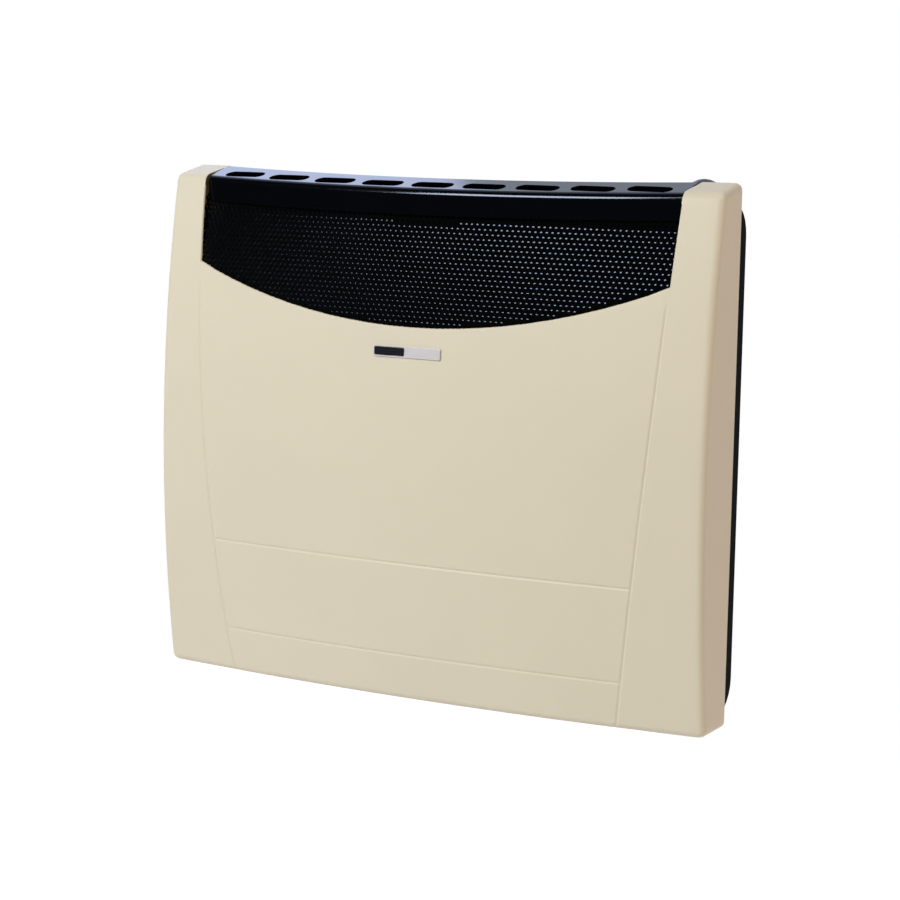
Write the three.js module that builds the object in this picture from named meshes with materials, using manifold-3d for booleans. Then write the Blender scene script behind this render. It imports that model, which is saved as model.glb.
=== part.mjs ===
// Wall mounted gas heater of the balanced flue kind, built as an assembly of separate solids.
// Millimetres. +Z is up, +X is to the right of a person facing the heater, +Y goes into the wall.
// The origin is on the wall plane, in the middle, at the height of the hanging keyholes.
// Inside the assembly group, heights are counted from the lower edge of the casing, and
// depths from the wall towards the room, so a depth d lies at y = -d.

import * as THREE from 'three';
import { mergeVertices } from 'three/addons/utils/BufferGeometryUtils.js';
import Module from 'manifold-3d';

const wasm = await Module();
wasm.setup();

// Clearances and facets
const seatGap = 0.3;
const runningGap = 0.3;
const overrun = 5;
const roundSides = 24;
const smallSides = 12;
const pipeSides = 8;
const nutSides = 6;
const cornerSteps = 3;
const bendSteps = 3;
const edgeSteps = 8;
const bowSteps = 18;
const degree = Math.PI / 180;

// Overall sizes
const trayDepth = 39.7;
const casingRear = trayDepth + seatGap;

// Front casing: one pressing of enamelled sheet steel. The radius of its belly is given below the
// fullest height, and above it follows from the depth at the top.
const casing = {
  width: 700,
  height: 597,
  sheet: 1.2,
  bellyDepth: 77.3,
  bellyHeight: 270,
  bellyRadius: 1650,
  topDepth: 44.5727,
  bow: 21.4,
  topSlopeShare: 0.2,
  sideRadius: 10,
  topRadius: 8,
  footRadius: 11,
  rearFlange: 18,
  footFlange: 22,
  edgeReturn: 12,
  leastRadius: 0.4,
};
const halfWidth = casing.width / 2;

// How far in from the casing's side edges, and down from its top edge, the things that follow it lie
const fromSide = {
  grooveFoot: 100.5,
  grooveTop: 45.5,
  tray: 9.7,
  valve: 52,
  chamber: 100,
  keyhole: 130,
};
const fromTop = {
  grilleFront: 10,
  tray: 23,
  lip: 38.5,
  grilleBracket: 40,
  clip: 57,
  keyhole: 97,
  chamber: 133,
  smile: 168.5,
};
const hangHeight = casing.height - fromTop.keyhole;

const groove = {
  width: 5.6,
  depth: 1.7,
  footX: halfWidth - fromSide.grooveFoot,
  topX: halfWidth - fromSide.grooveTop,
  leanShare: 0.545,
  upperHeight: 161.2,
  lowerHeight: 53.8,
};
const smile = { lowest: casing.height - fromTop.smile, radius: 798 };

// Top grille: a bowed strip of black pressed steel with a lip
const grilleEndGap = 6;
const grilleRise = 1.4;
const grille = {
  halfLength: groove.topX - grilleEndGap,
  sheet: 1.5,
  rearDepth: 1.1,
  frontDepth: 41.7,
  rearHeight: casing.height + grilleRise,
  frontHeight: casing.height - fromTop.grilleFront,
  lipHeight: casing.height - fromTop.lip,
  bow: 25,
  sag: 6.6,
  edgeRadius: 5,
  endRadius: 6,
  rearFlange: 9,
};
const grilleSlot = { count: 9, margin: 7.35, bridge: 12.7, width: 19, placeShare: 0.58 };
const slotPitch = (2 * (grille.halfLength - grilleSlot.margin)) / grilleSlot.count;

// Expanded metal screen behind the opening of the casing
const screen = {
  sheet: 1,
  edgeSetback: 2,
  lipSetback: 12.5,
  hidden: 10,
  border: 7,
  pitchX: 30,
  rowPitch: 10.4,
  holeWidth: 24,
  holeHeight: 14,
};

const badge = { width: 85, height: 12.5, sheet: 1.4, middleX: -4.5, belowSmile: 27.8 };
const inlay = { width: 38, height: 9.4, sheet: 0.9, pocket: 0.6, margin: 1.3 };

// Rear tray: the pressed chassis that hangs on the wall
const tray = {
  width: 2 * (halfWidth - fromSide.tray),
  foot: 13,
  top: casing.height - fromTop.tray,
  sheet: 1.5,
  bendRadius: 35,
  flange: 20,
  keyholeX: halfWidth - fromSide.keyhole,
  keyholeHeadRadius: 6,
  keyholeNeckRadius: 3.2,
  keyholeDrop: 12,
};

// Sealed chamber: two pressed pans bolted face to face on a gasket
const chamber = {
  width: 2 * (halfWidth - fromSide.chamber),
  foot: 96,
  top: casing.height - fromTop.chamber,
  cornerRadius: 30,
  sheet: 1.5,
  rearDepth: 24,
  splitDepth: 60,
  frontDepth: 92,
  flange: 12,
  gasket: 3,
};
const rib = { count: 7, margin: 70, radius: 10, height: 8, foot: 205, belowTop: 36 };
const doorInset = 100;
const door = {
  width: chamber.width - 2 * doorInset,
  height: 76,
  middleHeight: 140,
  cornerRadius: 12,
  apertureMargin: 14,
  sheet: 1.5,
  gasket: 2,
};
const glassInset = 45;
const glass = {
  x: door.width / 2 - glassInset,
  height: 146,
  radius: 16,
  thickness: 3,
  viewRadius: 12,
  ringRadius: 20,
  ringSheet: 1.5,
};
const heatShield = { beyondKeyhole: 9, aboveChamber: 4, aboveKeyhole: 36, depth: 12, sheet: 1 };
const bracket = { sheet: 1.5, foot: 20, head: 12, width: 40, lowHeight: 190, belowTop: 64 };

// Flue: exhaust pipe inside the air intake pipe
const flueBelowTop = 84;
const flue = {
  height: chamber.top - flueBelowTop,
  exhaustRadius: 40,
  airRadius: 70,
  wall: 1,
  exhaustReach: 35,
  airReach: 25,
  exhaustFlangeRadius: 52,
  airFlangeRadius: 78,
  flangeSheet: 1.2,
};
const duct = { width: 176, aboveFoot: 8, belowTop: 3, sheet: 1.5, cornerRadius: 20 };
const intake = { width: 120, height: 22, middleHeight: 124 };

// Burner
const burnerInset = 60;
const burner = {
  depth: 44,
  height: 150,
  radius: 13,
  wall: 1,
  halfLength: chamber.width / 2 - burnerInset,
  mouthRadius: 17,
  mouthLength: 22,
  portCount: 15,
  portMargin: 36,
  portWidth: 2.4,
  portShare: 0.7,
  standInset: 70,
  standWidth: 34,
  standSheet: 2,
};
const injectorSizes = {
  gap: 6,
  radius: 5,
  length: 10,
  bore: 1,
  holderRadius: 8,
  collarRadius: 13,
  collarSheet: 4,
  elbowReach: 8,
  elbowRadius: 6,
  elbowDrop: 14,
};

// Pilot group, seen through the sight glass
const pilot = {
  depth: 72,
  height: 141,
  sheet: 1.5,
  width: 50,
  reach: 8,
  flangeFoot: 118,
  hoodRadius: 5,
  hoodBore: 3.4,
  hoodTop: 158,
  stubRadius: 3.6,
  stubFoot: 133,
  flameSlot: 2.4,
  flameSlotFoot: 149,
  spacing: 12,
  sensorRadius: 2.2,
  sensorTop: 156,
  sensorFoot: 129,
  insulatorRadius: 3.4,
  insulatorTop: 152,
  insulatorFoot: 131,
  wireRadius: 1,
  wireTop: 158,
  exitHeight: 124,
};

// Gas valve at the lower right, with its stem in line with the knob
const valve = {
  x: halfWidth - fromSide.valve,
  depth: 20,
  width: 48,
  thickness: 32.8,
  cornerRadius: 6,
  foot: 66,
  top: 120,
  inletRadius: 11,
  inletLength: 16,
  outletRadius: 8,
  outletLength: 12,
  outletHeight: 78,
  magnetRadius: 11,
  magnetTipRadius: 6.5,
  magnetLength: 16,
  magnetHeight: 90,
  pilotOutletOffset: 17,
  pilotOutletRadius: 5,
  pilotOutletLength: 4,
  pilotOutletHeight: 74,
  headHeight: 26,
  headWidth: 44,
  headThickness: 30,
  headCornerRadius: 8,
  pinRadius: 3,
  pinFoot: 129,
  pinTop: 158,
};
const valvePlate = { sheet: 1.5, width: 60, foot: 56, top: 142, cornerRadius: 6 };
const press = 5;
const spindle = { radius: 3, couplingRadius: 6, couplingLength: 22, couplingFloor: 3 };
const bush = { radius: 4.2, flangeRadius: 7, flangeSheet: 2.2, drop: 4 };

// Controls on top of the tray
const knobRise = 8.5;
const knobHeight = 17.3;
const knob = {
  radius: 18,
  foot: tray.top + knobRise,
  top: tray.top + knobRise + knobHeight,
  domeRadius: 24,
  boreDepth: 12,
  fluteCount: 10,
  fluteRadius: 3,
  fluteDepth: 1.3,
};
const bezelRise = 3;
const bezelHeight = 32;
const bezel = {
  top: tray.top + bezelRise,
  foot: tray.top + bezelRise - bezelHeight,
  width: 36,
  spindleHole: 6.5,
};
const controlSpacing = 46;
const igniterDrop = 74;
const igniter = {
  x: valve.x - controlSpacing,
  bodyRadius: 8.7,
  collarRadius: 12,
  collarSheet: 2,
  bodyFoot: tray.top - igniterDrop,
  buttonRadius: 6,
  buttonRise: 9,
  buttonSunk: 9,
  travel: 6,
  nutRadius: 13,
  nutSheet: 5,
};
const shelfDrop = 40;
const shelfMargin = 20;
const shelf = {
  height: tray.top - shelfDrop,
  sheet: 1.5,
  flange: 26,
  left: igniter.x - shelfMargin,
  right: valve.x + shelfMargin,
  depth: 37,
};

const inlet = {
  radius: 9,
  bore: 6,
  foot: 6,
  collarRadius: 11.3,
  collarHeight: 8,
  nutRadius: 16,
  nutLip: 4,
  nutGrip: 12,
  trayHoleRadius: 12,
};
const phial = {
  radius: 5,
  length: 96,
  x: 120,
  depth: 55,
  height: 45.3,
  capillaryRadius: 1.3,
  capillaryOffset: 18,
  capillaryDepth: 58,
  capillaryHeight: 90,
  portOffset: 12,
};
const phialClipSizes = { width: 16, sheet: 1.5, foot: 18, reach: 24, rise: 6 };
const screw = { radius: 2.4, headRadius: 5, headHeight: 2.6, length: 9, depth: 54, inset: 24 };
const clipSizes = { width: 26, sheet: 1.5, hold: 7, land: 18 };
const tabSizes = { width: 15, sheet: 1.5, rise: 30, reach: 24 };
const grilleBracketSizes = { width: 10, sheet: 1.5, reach: 26 };

// Pipes and leads: they share lanes in front of the chamber, and the ignition lead goes up a riser
const pipe = {
  feedRadius: 4,
  pilotRadius: 2,
  leadRadius: 1.6,
  cableRadius: 2.5,
  holeClearance: 1,
  straight: 12,
  laneDepth: 106,
  lanePitch: 8,
  laneEndOffset: 44,
  riserOffset: 27,
  riserDepth: 46,
  riserBend: 40,
};

// Materials, with the colours that the photograph shows or that such parts have
function material(color, roughness, metalness) {
  return new THREE.MeshStandardMaterial({ color, roughness, metalness });
}
const materials = {
  creamEnamel: material(0xddd7c3, 0.35, 0),
  blackEnamel: material(0x0b0c11, 0.3, 0),
  blackSteel: material(0x17181b, 0.5, 0.2),
  silverBadge: material(0xa9aba8, 0.35, 0.6),
  darkBadge: material(0x2b2d30, 0.4, 0),
  chamberEnamel: material(0x2a2b2d, 0.6, 0),
  zincSteel: material(0xb4b7b8, 0.4, 0.9),
  stainless: material(0xa8a39a, 0.35, 0.9),
  aluminium: material(0xc3c5c6, 0.4, 0.9),
  brass: material(0xb5964f, 0.35, 0.9),
  copper: material(0xb87754, 0.4, 0.9),
  gasketFibre: material(0xcdc9bd, 0.95, 0),
  glass: material(0xdfe7e4, 0.05, 0),
  ceramic: material(0xf0ece2, 0.4, 0),
  blackPlastic: material(0x131313, 0.45, 0),
  whitePlastic: material(0xd8d6cf, 0.5, 0),
  redCable: material(0x8d3a2c, 0.6, 0),
};

// Solids

function closedSolid(positions, triangles) {
  let volume = 0;
  for (let i = 0; i < triangles.length; i += 3) {
    const [a, b, c] = [0, 1, 2].map((k) => new THREE.Vector3().fromArray(positions, 3 * triangles[i + k]));
    volume += a.dot(b.cross(c));
  }
  if (volume < 0) {
    triangles.reverse();
  }
  const mesh = new wasm.Mesh({
    numProp: 3,
    vertProperties: new Float32Array(positions),
    triVerts: new Uint32Array(triangles),
  });
  return new wasm.Manifold(mesh);
}

function toSolid(geometry) {
  geometry.deleteAttribute('normal');
  geometry.deleteAttribute('uv');
  const merged = mergeVertices(geometry);
  return closedSolid(Array.from(merged.attributes.position.array), Array.from(merged.index.array));
}

function toGeometry(solid) {
  const mesh = solid.getMesh();
  const geometry = new THREE.BufferGeometry();
  geometry.setAttribute('position', new THREE.BufferAttribute(new Float32Array(mesh.vertProperties), 3));
  geometry.setIndex(new THREE.BufferAttribute(new Uint32Array(mesh.triVerts), 1));
  geometry.computeVertexNormals();
  return geometry;
}

function cut(solid, ...tools) {
  return tools.reduce((rest, tool) => rest.subtract(tool), solid);
}

function join(first, ...others) {
  return others.reduce((sum, other) => sum.add(other), first);
}

// A box between two ends on each axis
function block([x0, x1], [y0, y1], [z0, z1]) {
  const geometry = new THREE.BoxGeometry(x1 - x0, y1 - y0, z1 - z0);
  geometry.translate((x0 + x1) / 2, (y0 + y1) / 2, (z0 + z1) / 2);
  return toSolid(geometry);
}

// A cylinder, or a cone when the end radius differs, between two points
function rod(radius, start, end, sides = roundSides, endRadius = radius) {
  const from = new THREE.Vector3(...start);
  const span = new THREE.Vector3(...end).sub(from);
  const geometry = new THREE.CylinderGeometry(endRadius, radius, span.length(), sides);
  geometry.translate(0, span.length() / 2, 0);
  const turn = new THREE.Quaternion().setFromUnitVectors(new THREE.Vector3(0, 1, 0), span.normalize());
  geometry.applyQuaternion(turn);
  geometry.translate(...start);
  return toSolid(geometry);
}

// A rod with a bore right through it
function tube(radius, bore, start, end, sides = roundSides) {
  const from = new THREE.Vector3(...start);
  const to = new THREE.Vector3(...end);
  const beyond = to.clone().sub(from).setLength(overrun);
  const hole = rod(bore, from.clone().sub(beyond).toArray(), to.clone().add(beyond).toArray(), sides);
  return cut(rod(radius, start, end, sides), hole);
}

// Slabs of an outline, drawn from the front (X-Z), from above (X-Y) or from the right (Y-Z)
function frontSlab(points, depth, thickness) {
  const shape = new THREE.Shape(points);
  const geometry = new THREE.ExtrudeGeometry(shape, { depth: thickness, bevelEnabled: false });
  geometry.rotateX(90 * degree);
  geometry.translate(0, -depth, 0);
  return toSolid(geometry);
}

function planSlab(points, foot, thickness) {
  const shape = new THREE.Shape(points);
  const geometry = new THREE.ExtrudeGeometry(shape, { depth: thickness, bevelEnabled: false });
  geometry.translate(0, 0, foot);
  return toSolid(geometry);
}

function sideSlab(points, left, width) {
  const shape = new THREE.Shape(points);
  const geometry = new THREE.ExtrudeGeometry(shape, { depth: width, bevelEnabled: false });
  const toSide = new THREE.Matrix4().makeBasis(
    new THREE.Vector3(0, 1, 0),
    new THREE.Vector3(0, 0, 1),
    new THREE.Vector3(1, 0, 0),
  );
  geometry.applyMatrix4(toSide);
  geometry.translate(left, 0, 0);
  return toSolid(geometry);
}

function arcPoints(x, y, radius, from, to, steps) {
  const points = [];
  for (let i = 0; i <= steps; i++) {
    const angle = from + ((to - from) * i) / steps;
    points.push(new THREE.Vector2(x + radius * Math.cos(angle), y + radius * Math.sin(angle)));
  }
  return points;
}

function roundedRectangle(width, height, radius, x, y, steps = cornerSteps) {
  const right = x + width / 2 - radius;
  const left = x - width / 2 + radius;
  const upper = y + height / 2 - radius;
  const lower = y - height / 2 + radius;
  return [
    ...arcPoints(right, lower, radius, -90 * degree, 0, steps),
    ...arcPoints(right, upper, radius, 0, 90 * degree, steps),
    ...arcPoints(left, upper, radius, 90 * degree, 180 * degree, steps),
    ...arcPoints(left, lower, radius, 180 * degree, 270 * degree, steps),
  ];
}

function capsule(length, width, x, y, steps = 2 * cornerSteps) {
  const reach = (length - width) / 2;
  return [
    ...arcPoints(x + reach, y, width / 2, -90 * degree, 90 * degree, steps),
    ...arcPoints(x - reach, y, width / 2, 90 * degree, 270 * degree, steps),
  ];
}

// Triangles that close a ring, wound the way the ring runs
function capRing(ring) {
  const facing = new THREE.Vector3();
  ring.forEach((point, i) => facing.add(point.clone().cross(ring[(i + 1) % ring.length])));
  const [x, y, z] = facing.toArray().map(Math.abs);
  let flatten = (point) => new THREE.Vector2(point.y, point.z);
  if (z >= x && z >= y) {
    flatten = (point) => new THREE.Vector2(point.x, point.y);
  } else if (y >= x) {
    flatten = (point) => new THREE.Vector2(point.z, point.x);
  }
  const flat = ring.map(flatten);
  const direction = Math.sign(THREE.ShapeUtils.area(flat));
  return THREE.ShapeUtils.triangulateShape(flat, []).map(([a, b, c]) => {
    const same = Math.sign(THREE.ShapeUtils.area([flat[a], flat[b], flat[c]])) === direction;
    return same ? [a, b, c] : [a, c, b];
  });
}

// A solid through a row of rings with equal numbers of points, closed at both ends
function loft(rings) {
  const count = rings[0].length;
  const positions = rings.flat().flatMap((point) => point.toArray());
  const triangles = [];
  for (let row = 0; row + 1 < rings.length; row++) {
    for (let i = 0; i < count; i++) {
      const a = row * count + i;
      const b = row * count + ((i + 1) % count);
      triangles.push(a, b, b + count, a, b + count, a + count);
    }
  }
  const last = (rings.length - 1) * count;
  for (const [a, b, c] of capRing(rings[0])) {
    triangles.push(a, c, b);
  }
  for (const [a, b, c] of capRing(rings.at(-1))) {
    triangles.push(last + a, last + b, last + c);
  }
  return closedSolid(positions, triangles);
}

// A pipe or lead of one radius along a smooth route through the given points
function runPipe(radius, route) {
  const points = route.map((point) => new THREE.Vector3(...point));
  const curve = new THREE.CatmullRomCurve3(points, false, 'centripetal');
  const count = (route.length - 1) * bendSteps;
  const rings = [];
  let normal = new THREE.Vector3(1, 1, 1);
  for (let i = 0; i <= count; i++) {
    const centre = curve.getPoint(i / count);
    const tangent = curve.getTangent(i / count);
    normal = normal.projectOnPlane(tangent).normalize();
    const binormal = tangent.clone().cross(normal);
    const circle = arcPoints(0, 0, radius, 0, 360 * degree, pipeSides).slice(0, -1);
    rings.push(circle.map((point) => centre.clone()
      .addScaledVector(normal, point.x)
      .addScaledVector(binormal, point.y)));
  }
  return loft(rings);
}

// Form of the casing

function arcDrop(distance, radius) {
  return radius - Math.sqrt(radius * radius - distance * distance);
}

// Radius of the arc that drops so far at a distance from its middle
function radiusThrough(distance, drop) {
  return (distance * distance + drop * drop) / (2 * drop);
}

const bowRadius = radiusThrough(halfWidth, casing.bow);
const upperBellyRadius = radiusThrough(
  casing.height - casing.bellyHeight,
  casing.bellyDepth - casing.topDepth,
);

function bowAt(x) {
  return casing.bow - arcDrop(x, bowRadius);
}

function bellyAt(height) {
  const radius = height > casing.bellyHeight ? upperBellyRadius : casing.bellyRadius;
  return casing.bellyDepth - arcDrop(height - casing.bellyHeight, radius);
}

// Distance of the tapering grooves, and of the columns' inner edges, from the middle
function grooveX(height) {
  const share = height / casing.height;
  return groove.footX + (groove.topX - groove.footX) * share * (1 + groove.leanShare * (1 - share));
}

function smileHeight(x) {
  return smile.lowest + arcDrop(x, smile.radius);
}

// Where the smile-shaped edge meets the grooves
function smileEnd() {
  let height = smile.lowest;
  for (let i = 0; i < roundSides; i++) {
    height = smileHeight(grooveX(height));
  }
  return height;
}
const smileTop = smileEnd();

// Rows of the casing: height at the rear, rounding inset and how far the row follows the sloping top
function casingRows(offset) {
  const rows = [];
  const foot = Math.max(casing.footRadius - offset, casing.leastRadius);
  const top = Math.max(casing.topRadius - offset, casing.leastRadius);
  for (const angle of [90, 60, 30, 0]) {
    rows.push({
      height: offset + foot * (1 - Math.sin(angle * degree)),
      inset: foot * (1 - Math.cos(angle * degree)),
    });
  }
  for (const middle of [groove.lowerHeight, groove.upperHeight]) {
    rows.push({ height: middle - groove.width / 2, inset: 0 });
    rows.push({ height: middle, inset: 0, across: true });
    rows.push({ height: middle + groove.width / 2, inset: 0 });
  }
  const plainShares = [0.18, 0.36, 0.46, 0.56, 0.65, 0.74, 0.83, 0.91];
  for (const share of plainShares) {
    rows.push({ height: share * casing.height, inset: 0 });
  }
  rows.push({ height: smileTop, inset: 0 });
  for (const angle of [0, 30, 60, 90]) {
    rows.push({
      height: casing.height - offset - top * (1 - Math.sin(angle * degree)),
      inset: top * (1 - Math.cos(angle * degree)),
    });
  }
  return rows.sort((a, b) => a.height - b.height);
}

// One row of the casing as a closed loop, from the right rear edge round the front to the left
function casingRing(row, offset) {
  const inset = offset + row.inset;
  const half = halfWidth - inset;
  const radius = Math.max(casing.sideRadius - inset, casing.leastRadius);
  const follow = Math.max(0, (row.height - smile.lowest) / (casing.height - smile.lowest));
  const slope = casing.topSlopeShare * follow;
  const frontHeight = row.height - slope * bellyAt(row.height);
  const depthAt = (x) => bellyAt(frontHeight) + bowAt(x) - inset;
  const turnEnd = 90 * degree - Math.atan(half / bowRadius);
  const cornerX = half - radius;
  const meetX = cornerX + radius * Math.cos(turnEnd);
  const cornerDepth = depthAt(meetX) - radius * Math.sin(turnEnd);
  const lineX = grooveX(frontHeight);
  const groovesHere = frontHeight < smileTop;
  const outline = [[half, offset]];
  for (const point of arcPoints(cornerX, cornerDepth, radius, 0, turnEnd, cornerSteps + 1)) {
    outline.push([point.x, point.y]);
  }
  outline.push([lineX + groove.width / 2, depthAt(lineX + groove.width / 2)]);
  outline.push([lineX, depthAt(lineX) - (groovesHere ? groove.depth : 0)]);
  const inner = lineX - groove.width / 2;
  for (let i = 0; i <= cornerSteps; i++) {
    const x = inner * (1 - i / cornerSteps);
    outline.push([x, depthAt(x) - (row.across ? groove.depth : 0)]);
  }
  const left = outline.slice(0, -1).reverse().map(([x, depth]) => [-x, depth]);
  return [...outline, ...left].map(
    ([x, depth]) => new THREE.Vector3(x, -casingRear - depth, row.height - slope * depth),
  );
}

function casingBody(offset) {
  const rings = casingRows(offset).map((row) => casingRing(row, offset));
  return loft(rings);
}

// Outline of the front opening, grown outwards by a margin
function openingOutline(grow, top) {
  const points = [];
  for (let i = 0; i <= edgeSteps; i++) {
    const height = smileTop - grow + ((top - smileTop + grow) * i) / edgeSteps;
    points.push(new THREE.Vector2(grooveX(height) + grow, height));
  }
  const half = grooveX(smileTop - grow) + grow;
  const arc = [];
  for (let i = 1; i < bowSteps; i++) {
    const x = -half + (2 * half * i) / bowSteps;
    arc.push(new THREE.Vector2(x, smileHeight(x) - grow));
  }
  const left = points.slice().reverse().map((point) => new THREE.Vector2(-point.x, point.y));
  return [...points, ...left, ...arc];
}

function frontCasing() {
  const outer = casingBody(0);
  const sheet = casing.sheet;
  const aboveTop = casing.height + overrun;
  const fullDepth = casing.bellyDepth + casing.bow + 2 * overrun;
  const opening = frontSlab(openingOutline(0, aboveTop), casingRear - overrun, fullDepth);
  const bandRear = casingRear + casing.edgeReturn + overrun;
  const grownOpening = frontSlab(openingOutline(sheet, aboveTop), bandRear, fullDepth);
  const edgeBand = cut(outer, casingBody(casing.edgeReturn)).intersect(grownOpening);
  const rearHalf = halfWidth - casing.rearFlange;
  const rearOpening = block(
    [-rearHalf, rearHalf],
    [-casingRear - sheet - overrun, -casingRear + overrun],
    [sheet, casing.height - casing.rearFlange],
  );
  const footInset = casing.footRadius + casing.footFlange;
  const footRow = { height: 0, inset: footInset };
  const footOutline = casingRing(footRow, 0).map((point) => new THREE.Vector2(point.x, point.y));
  footOutline[0].y += overrun;
  footOutline.at(-1).y += overrun;
  const footOpening = planSlab(footOutline, -overrun, 2 * overrun);
  const shell = cut(outer, casingBody(sheet), rearOpening, footOpening);
  const screwHoles = [-1, 1].map((side) => {
    const x = side * (halfWidth - screw.inset);
    const radius = screw.radius + runningGap;
    return rod(radius, [x, -screw.depth, -overrun], [x, -screw.depth, overrun], smallSides);
  });
  return cut(join(shell, edgeBand), opening, ...screwHoles);
}

// Form of the top grille

function grilleBow(x) {
  return 1 - (x * x) / (halfWidth * halfWidth);
}

function grilleFront(x) {
  return casingRear + grille.frontDepth + grille.bow * grilleBow(x);
}

function grilleRear(x) {
  return casingRear + grille.rearDepth + grille.bow * grilleBow(x);
}

function lipHeight(x) {
  return grille.lipHeight - grille.sag * grilleBow(x);
}

// Section of the grille across its length: rear flange, top, rounded edge and lip, and back inside
function grilleRing(x) {
  const { sheet, edgeRadius, endRadius, sag } = grille;
  const past = Math.max(0, Math.abs(x) - (grille.halfLength - endRadius));
  const front = grilleFront(x) - arcDrop(past, endRadius);
  const rear = grilleRear(x);
  const drop = sag * grilleBow(x);
  const rearTop = grille.rearHeight - drop;
  const frontTop = grille.frontHeight - drop;
  const fall = Math.atan2(rearTop - frontTop, front - rear);
  const turns = [90 * degree - fall, 60 * degree, 30 * degree, 0];
  const edge = (radius) => turns.map((turn) => [
    front - edgeRadius + radius * Math.cos(turn),
    frontTop - edgeRadius + radius * Math.sin(turn),
  ]);
  const outline = [
    [rear, rearTop - grille.rearFlange],
    [rear, rearTop],
    ...edge(edgeRadius),
    [front, lipHeight(x)],
    [front - sheet, lipHeight(x)],
    ...edge(edgeRadius - sheet).reverse(),
    [rear + sheet, rearTop - sheet],
    [rear + sheet, rearTop - grille.rearFlange],
  ];
  return outline.map(([depth, height]) => new THREE.Vector3(x, -depth, height));
}

function topGrille() {
  const flatHalf = grille.halfLength - grille.endRadius;
  const endShares = [0.5, 0.85];
  const places = [];
  for (let i = 0; i <= bowSteps; i++) {
    places.push(-flatHalf + (2 * flatHalf * i) / bowSteps);
  }
  for (const share of endShares) {
    places.push(flatHalf + share * grille.endRadius);
    places.unshift(-flatHalf - share * grille.endRadius);
  }
  const strip = loft(places.map(grilleRing));
  const slots = [];
  for (let i = 0; i < grilleSlot.count; i++) {
    const x = (i - (grilleSlot.count - 1) / 2) * slotPitch;
    const depth = THREE.MathUtils.lerp(grilleRear(x), grilleFront(x), grilleSlot.placeShare);
    const outline = capsule(slotPitch - grilleSlot.bridge, grilleSlot.width, x, -depth);
    const foot = grille.lipHeight;
    slots.push(planSlab(outline, foot, grille.rearHeight - foot + overrun));
  }
  return cut(strip, ...slots);
}

// Depth of the screen's front: near the casing's face at the smile, well behind it under the lip
function screenDepth(x, height) {
  const low = smileHeight(x);
  const share = (height - low) / (lipHeight(x) - low);
  const setback = THREE.MathUtils.lerp(screen.edgeSetback, screen.lipSetback, share);
  return casingRear + bellyAt(height) + bowAt(x) - setback;
}

function outletScreen() {
  const top = (x) => lipHeight(x) + screen.hidden;
  const sideX = (height) => grooveX(height) - seatGap;
  const outline = [];
  const half = sideX(smileTop + seatGap);
  for (let i = 0; i <= bowSteps; i++) {
    const x = -half + (2 * half * i) / bowSteps;
    outline.push(new THREE.Vector2(x, smileHeight(x) + seatGap));
  }
  const shoulder = lipHeight(half) - 2 * seatGap;
  const topHalf = grille.halfLength - grille.endRadius - seatGap;
  outline.push(new THREE.Vector2(sideX(shoulder), shoulder), new THREE.Vector2(topHalf, shoulder));
  for (let i = 0; i <= bowSteps; i++) {
    const x = topHalf - (2 * topHalf * i) / bowSteps;
    outline.push(new THREE.Vector2(x, top(x)));
  }
  outline.push(new THREE.Vector2(-topHalf, shoulder), new THREE.Vector2(-sideX(shoulder), shoulder));
  const shape = new THREE.Shape(outline);
  const rows = Math.floor((top(0) - smile.lowest) / screen.rowPitch);
  const columns = Math.ceil(half / screen.pitchX);
  for (let row = 0; row < rows; row++) {
    const height = smile.lowest + screen.border + screen.holeHeight / 2 + row * screen.rowPitch;
    for (let column = -columns; column <= columns; column++) {
      const x = (column + (row % 2) / 2) * screen.pitchX;
      const reachX = Math.abs(x) + screen.holeWidth / 2;
      const fitsSide = reachX < sideX(height) - screen.border;
      const fitsFoot = height - screen.holeHeight / 2 > smileHeight(Math.abs(x)) + screen.border;
      const fitsTop = height + screen.holeHeight / 2 < lipHeight(x) - screen.border;
      if (fitsSide && fitsFoot && fitsTop) {
        shape.holes.push(new THREE.Path([
          new THREE.Vector2(x - screen.holeWidth / 2, height),
          new THREE.Vector2(x, height - screen.holeHeight / 2),
          new THREE.Vector2(x + screen.holeWidth / 2, height),
          new THREE.Vector2(x, height + screen.holeHeight / 2),
        ]));
      }
    }
  }
  const geometry = new THREE.ExtrudeGeometry(shape, { depth: screen.sheet, bevelEnabled: false });
  geometry.rotateX(90 * degree);
  const place = geometry.attributes.position;
  for (let i = 0; i < place.count; i++) {
    const behind = place.getY(i) + screen.sheet;
    place.setY(i, behind - screenDepth(place.getX(i), place.getZ(i)));
  }
  return toSolid(geometry);
}

// Badge: a bare metal plate with a dark inlay, both in a group that leans with the casing's face

function badgePlate() {
  const plate = frontSlab(roundedRectangle(badge.width, badge.height, badge.sheet, 0, 0), 0, badge.sheet);
  const pocketX = -badge.width / 2 + inlay.margin + inlay.width / 2;
  const pocket = frontSlab(
    roundedRectangle(inlay.width + 2 * seatGap, inlay.height + 2 * seatGap, badge.sheet, pocketX, 0),
    badge.sheet - inlay.pocket,
    overrun,
  );
  return cut(plate, pocket);
}

function badgeInlay() {
  const x = -badge.width / 2 + inlay.margin + inlay.width / 2;
  const outline = roundedRectangle(inlay.width, inlay.height, badge.sheet, x, 0);
  return frontSlab(outline, badge.sheet - inlay.pocket + seatGap, inlay.sheet);
}

// Rear tray

function trayProfile(offset, front) {
  const radius = tray.bendRadius - offset;
  const low = tray.foot + tray.bendRadius;
  const high = tray.top - tray.bendRadius;
  return [
    new THREE.Vector2(-front, tray.foot + offset),
    ...arcPoints(-tray.bendRadius, low, radius, -90 * degree, 0, 2 * cornerSteps),
    ...arcPoints(-tray.bendRadius, high, radius, 0, 90 * degree, 2 * cornerSteps),
    new THREE.Vector2(-front, tray.top - offset),
  ];
}

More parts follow.
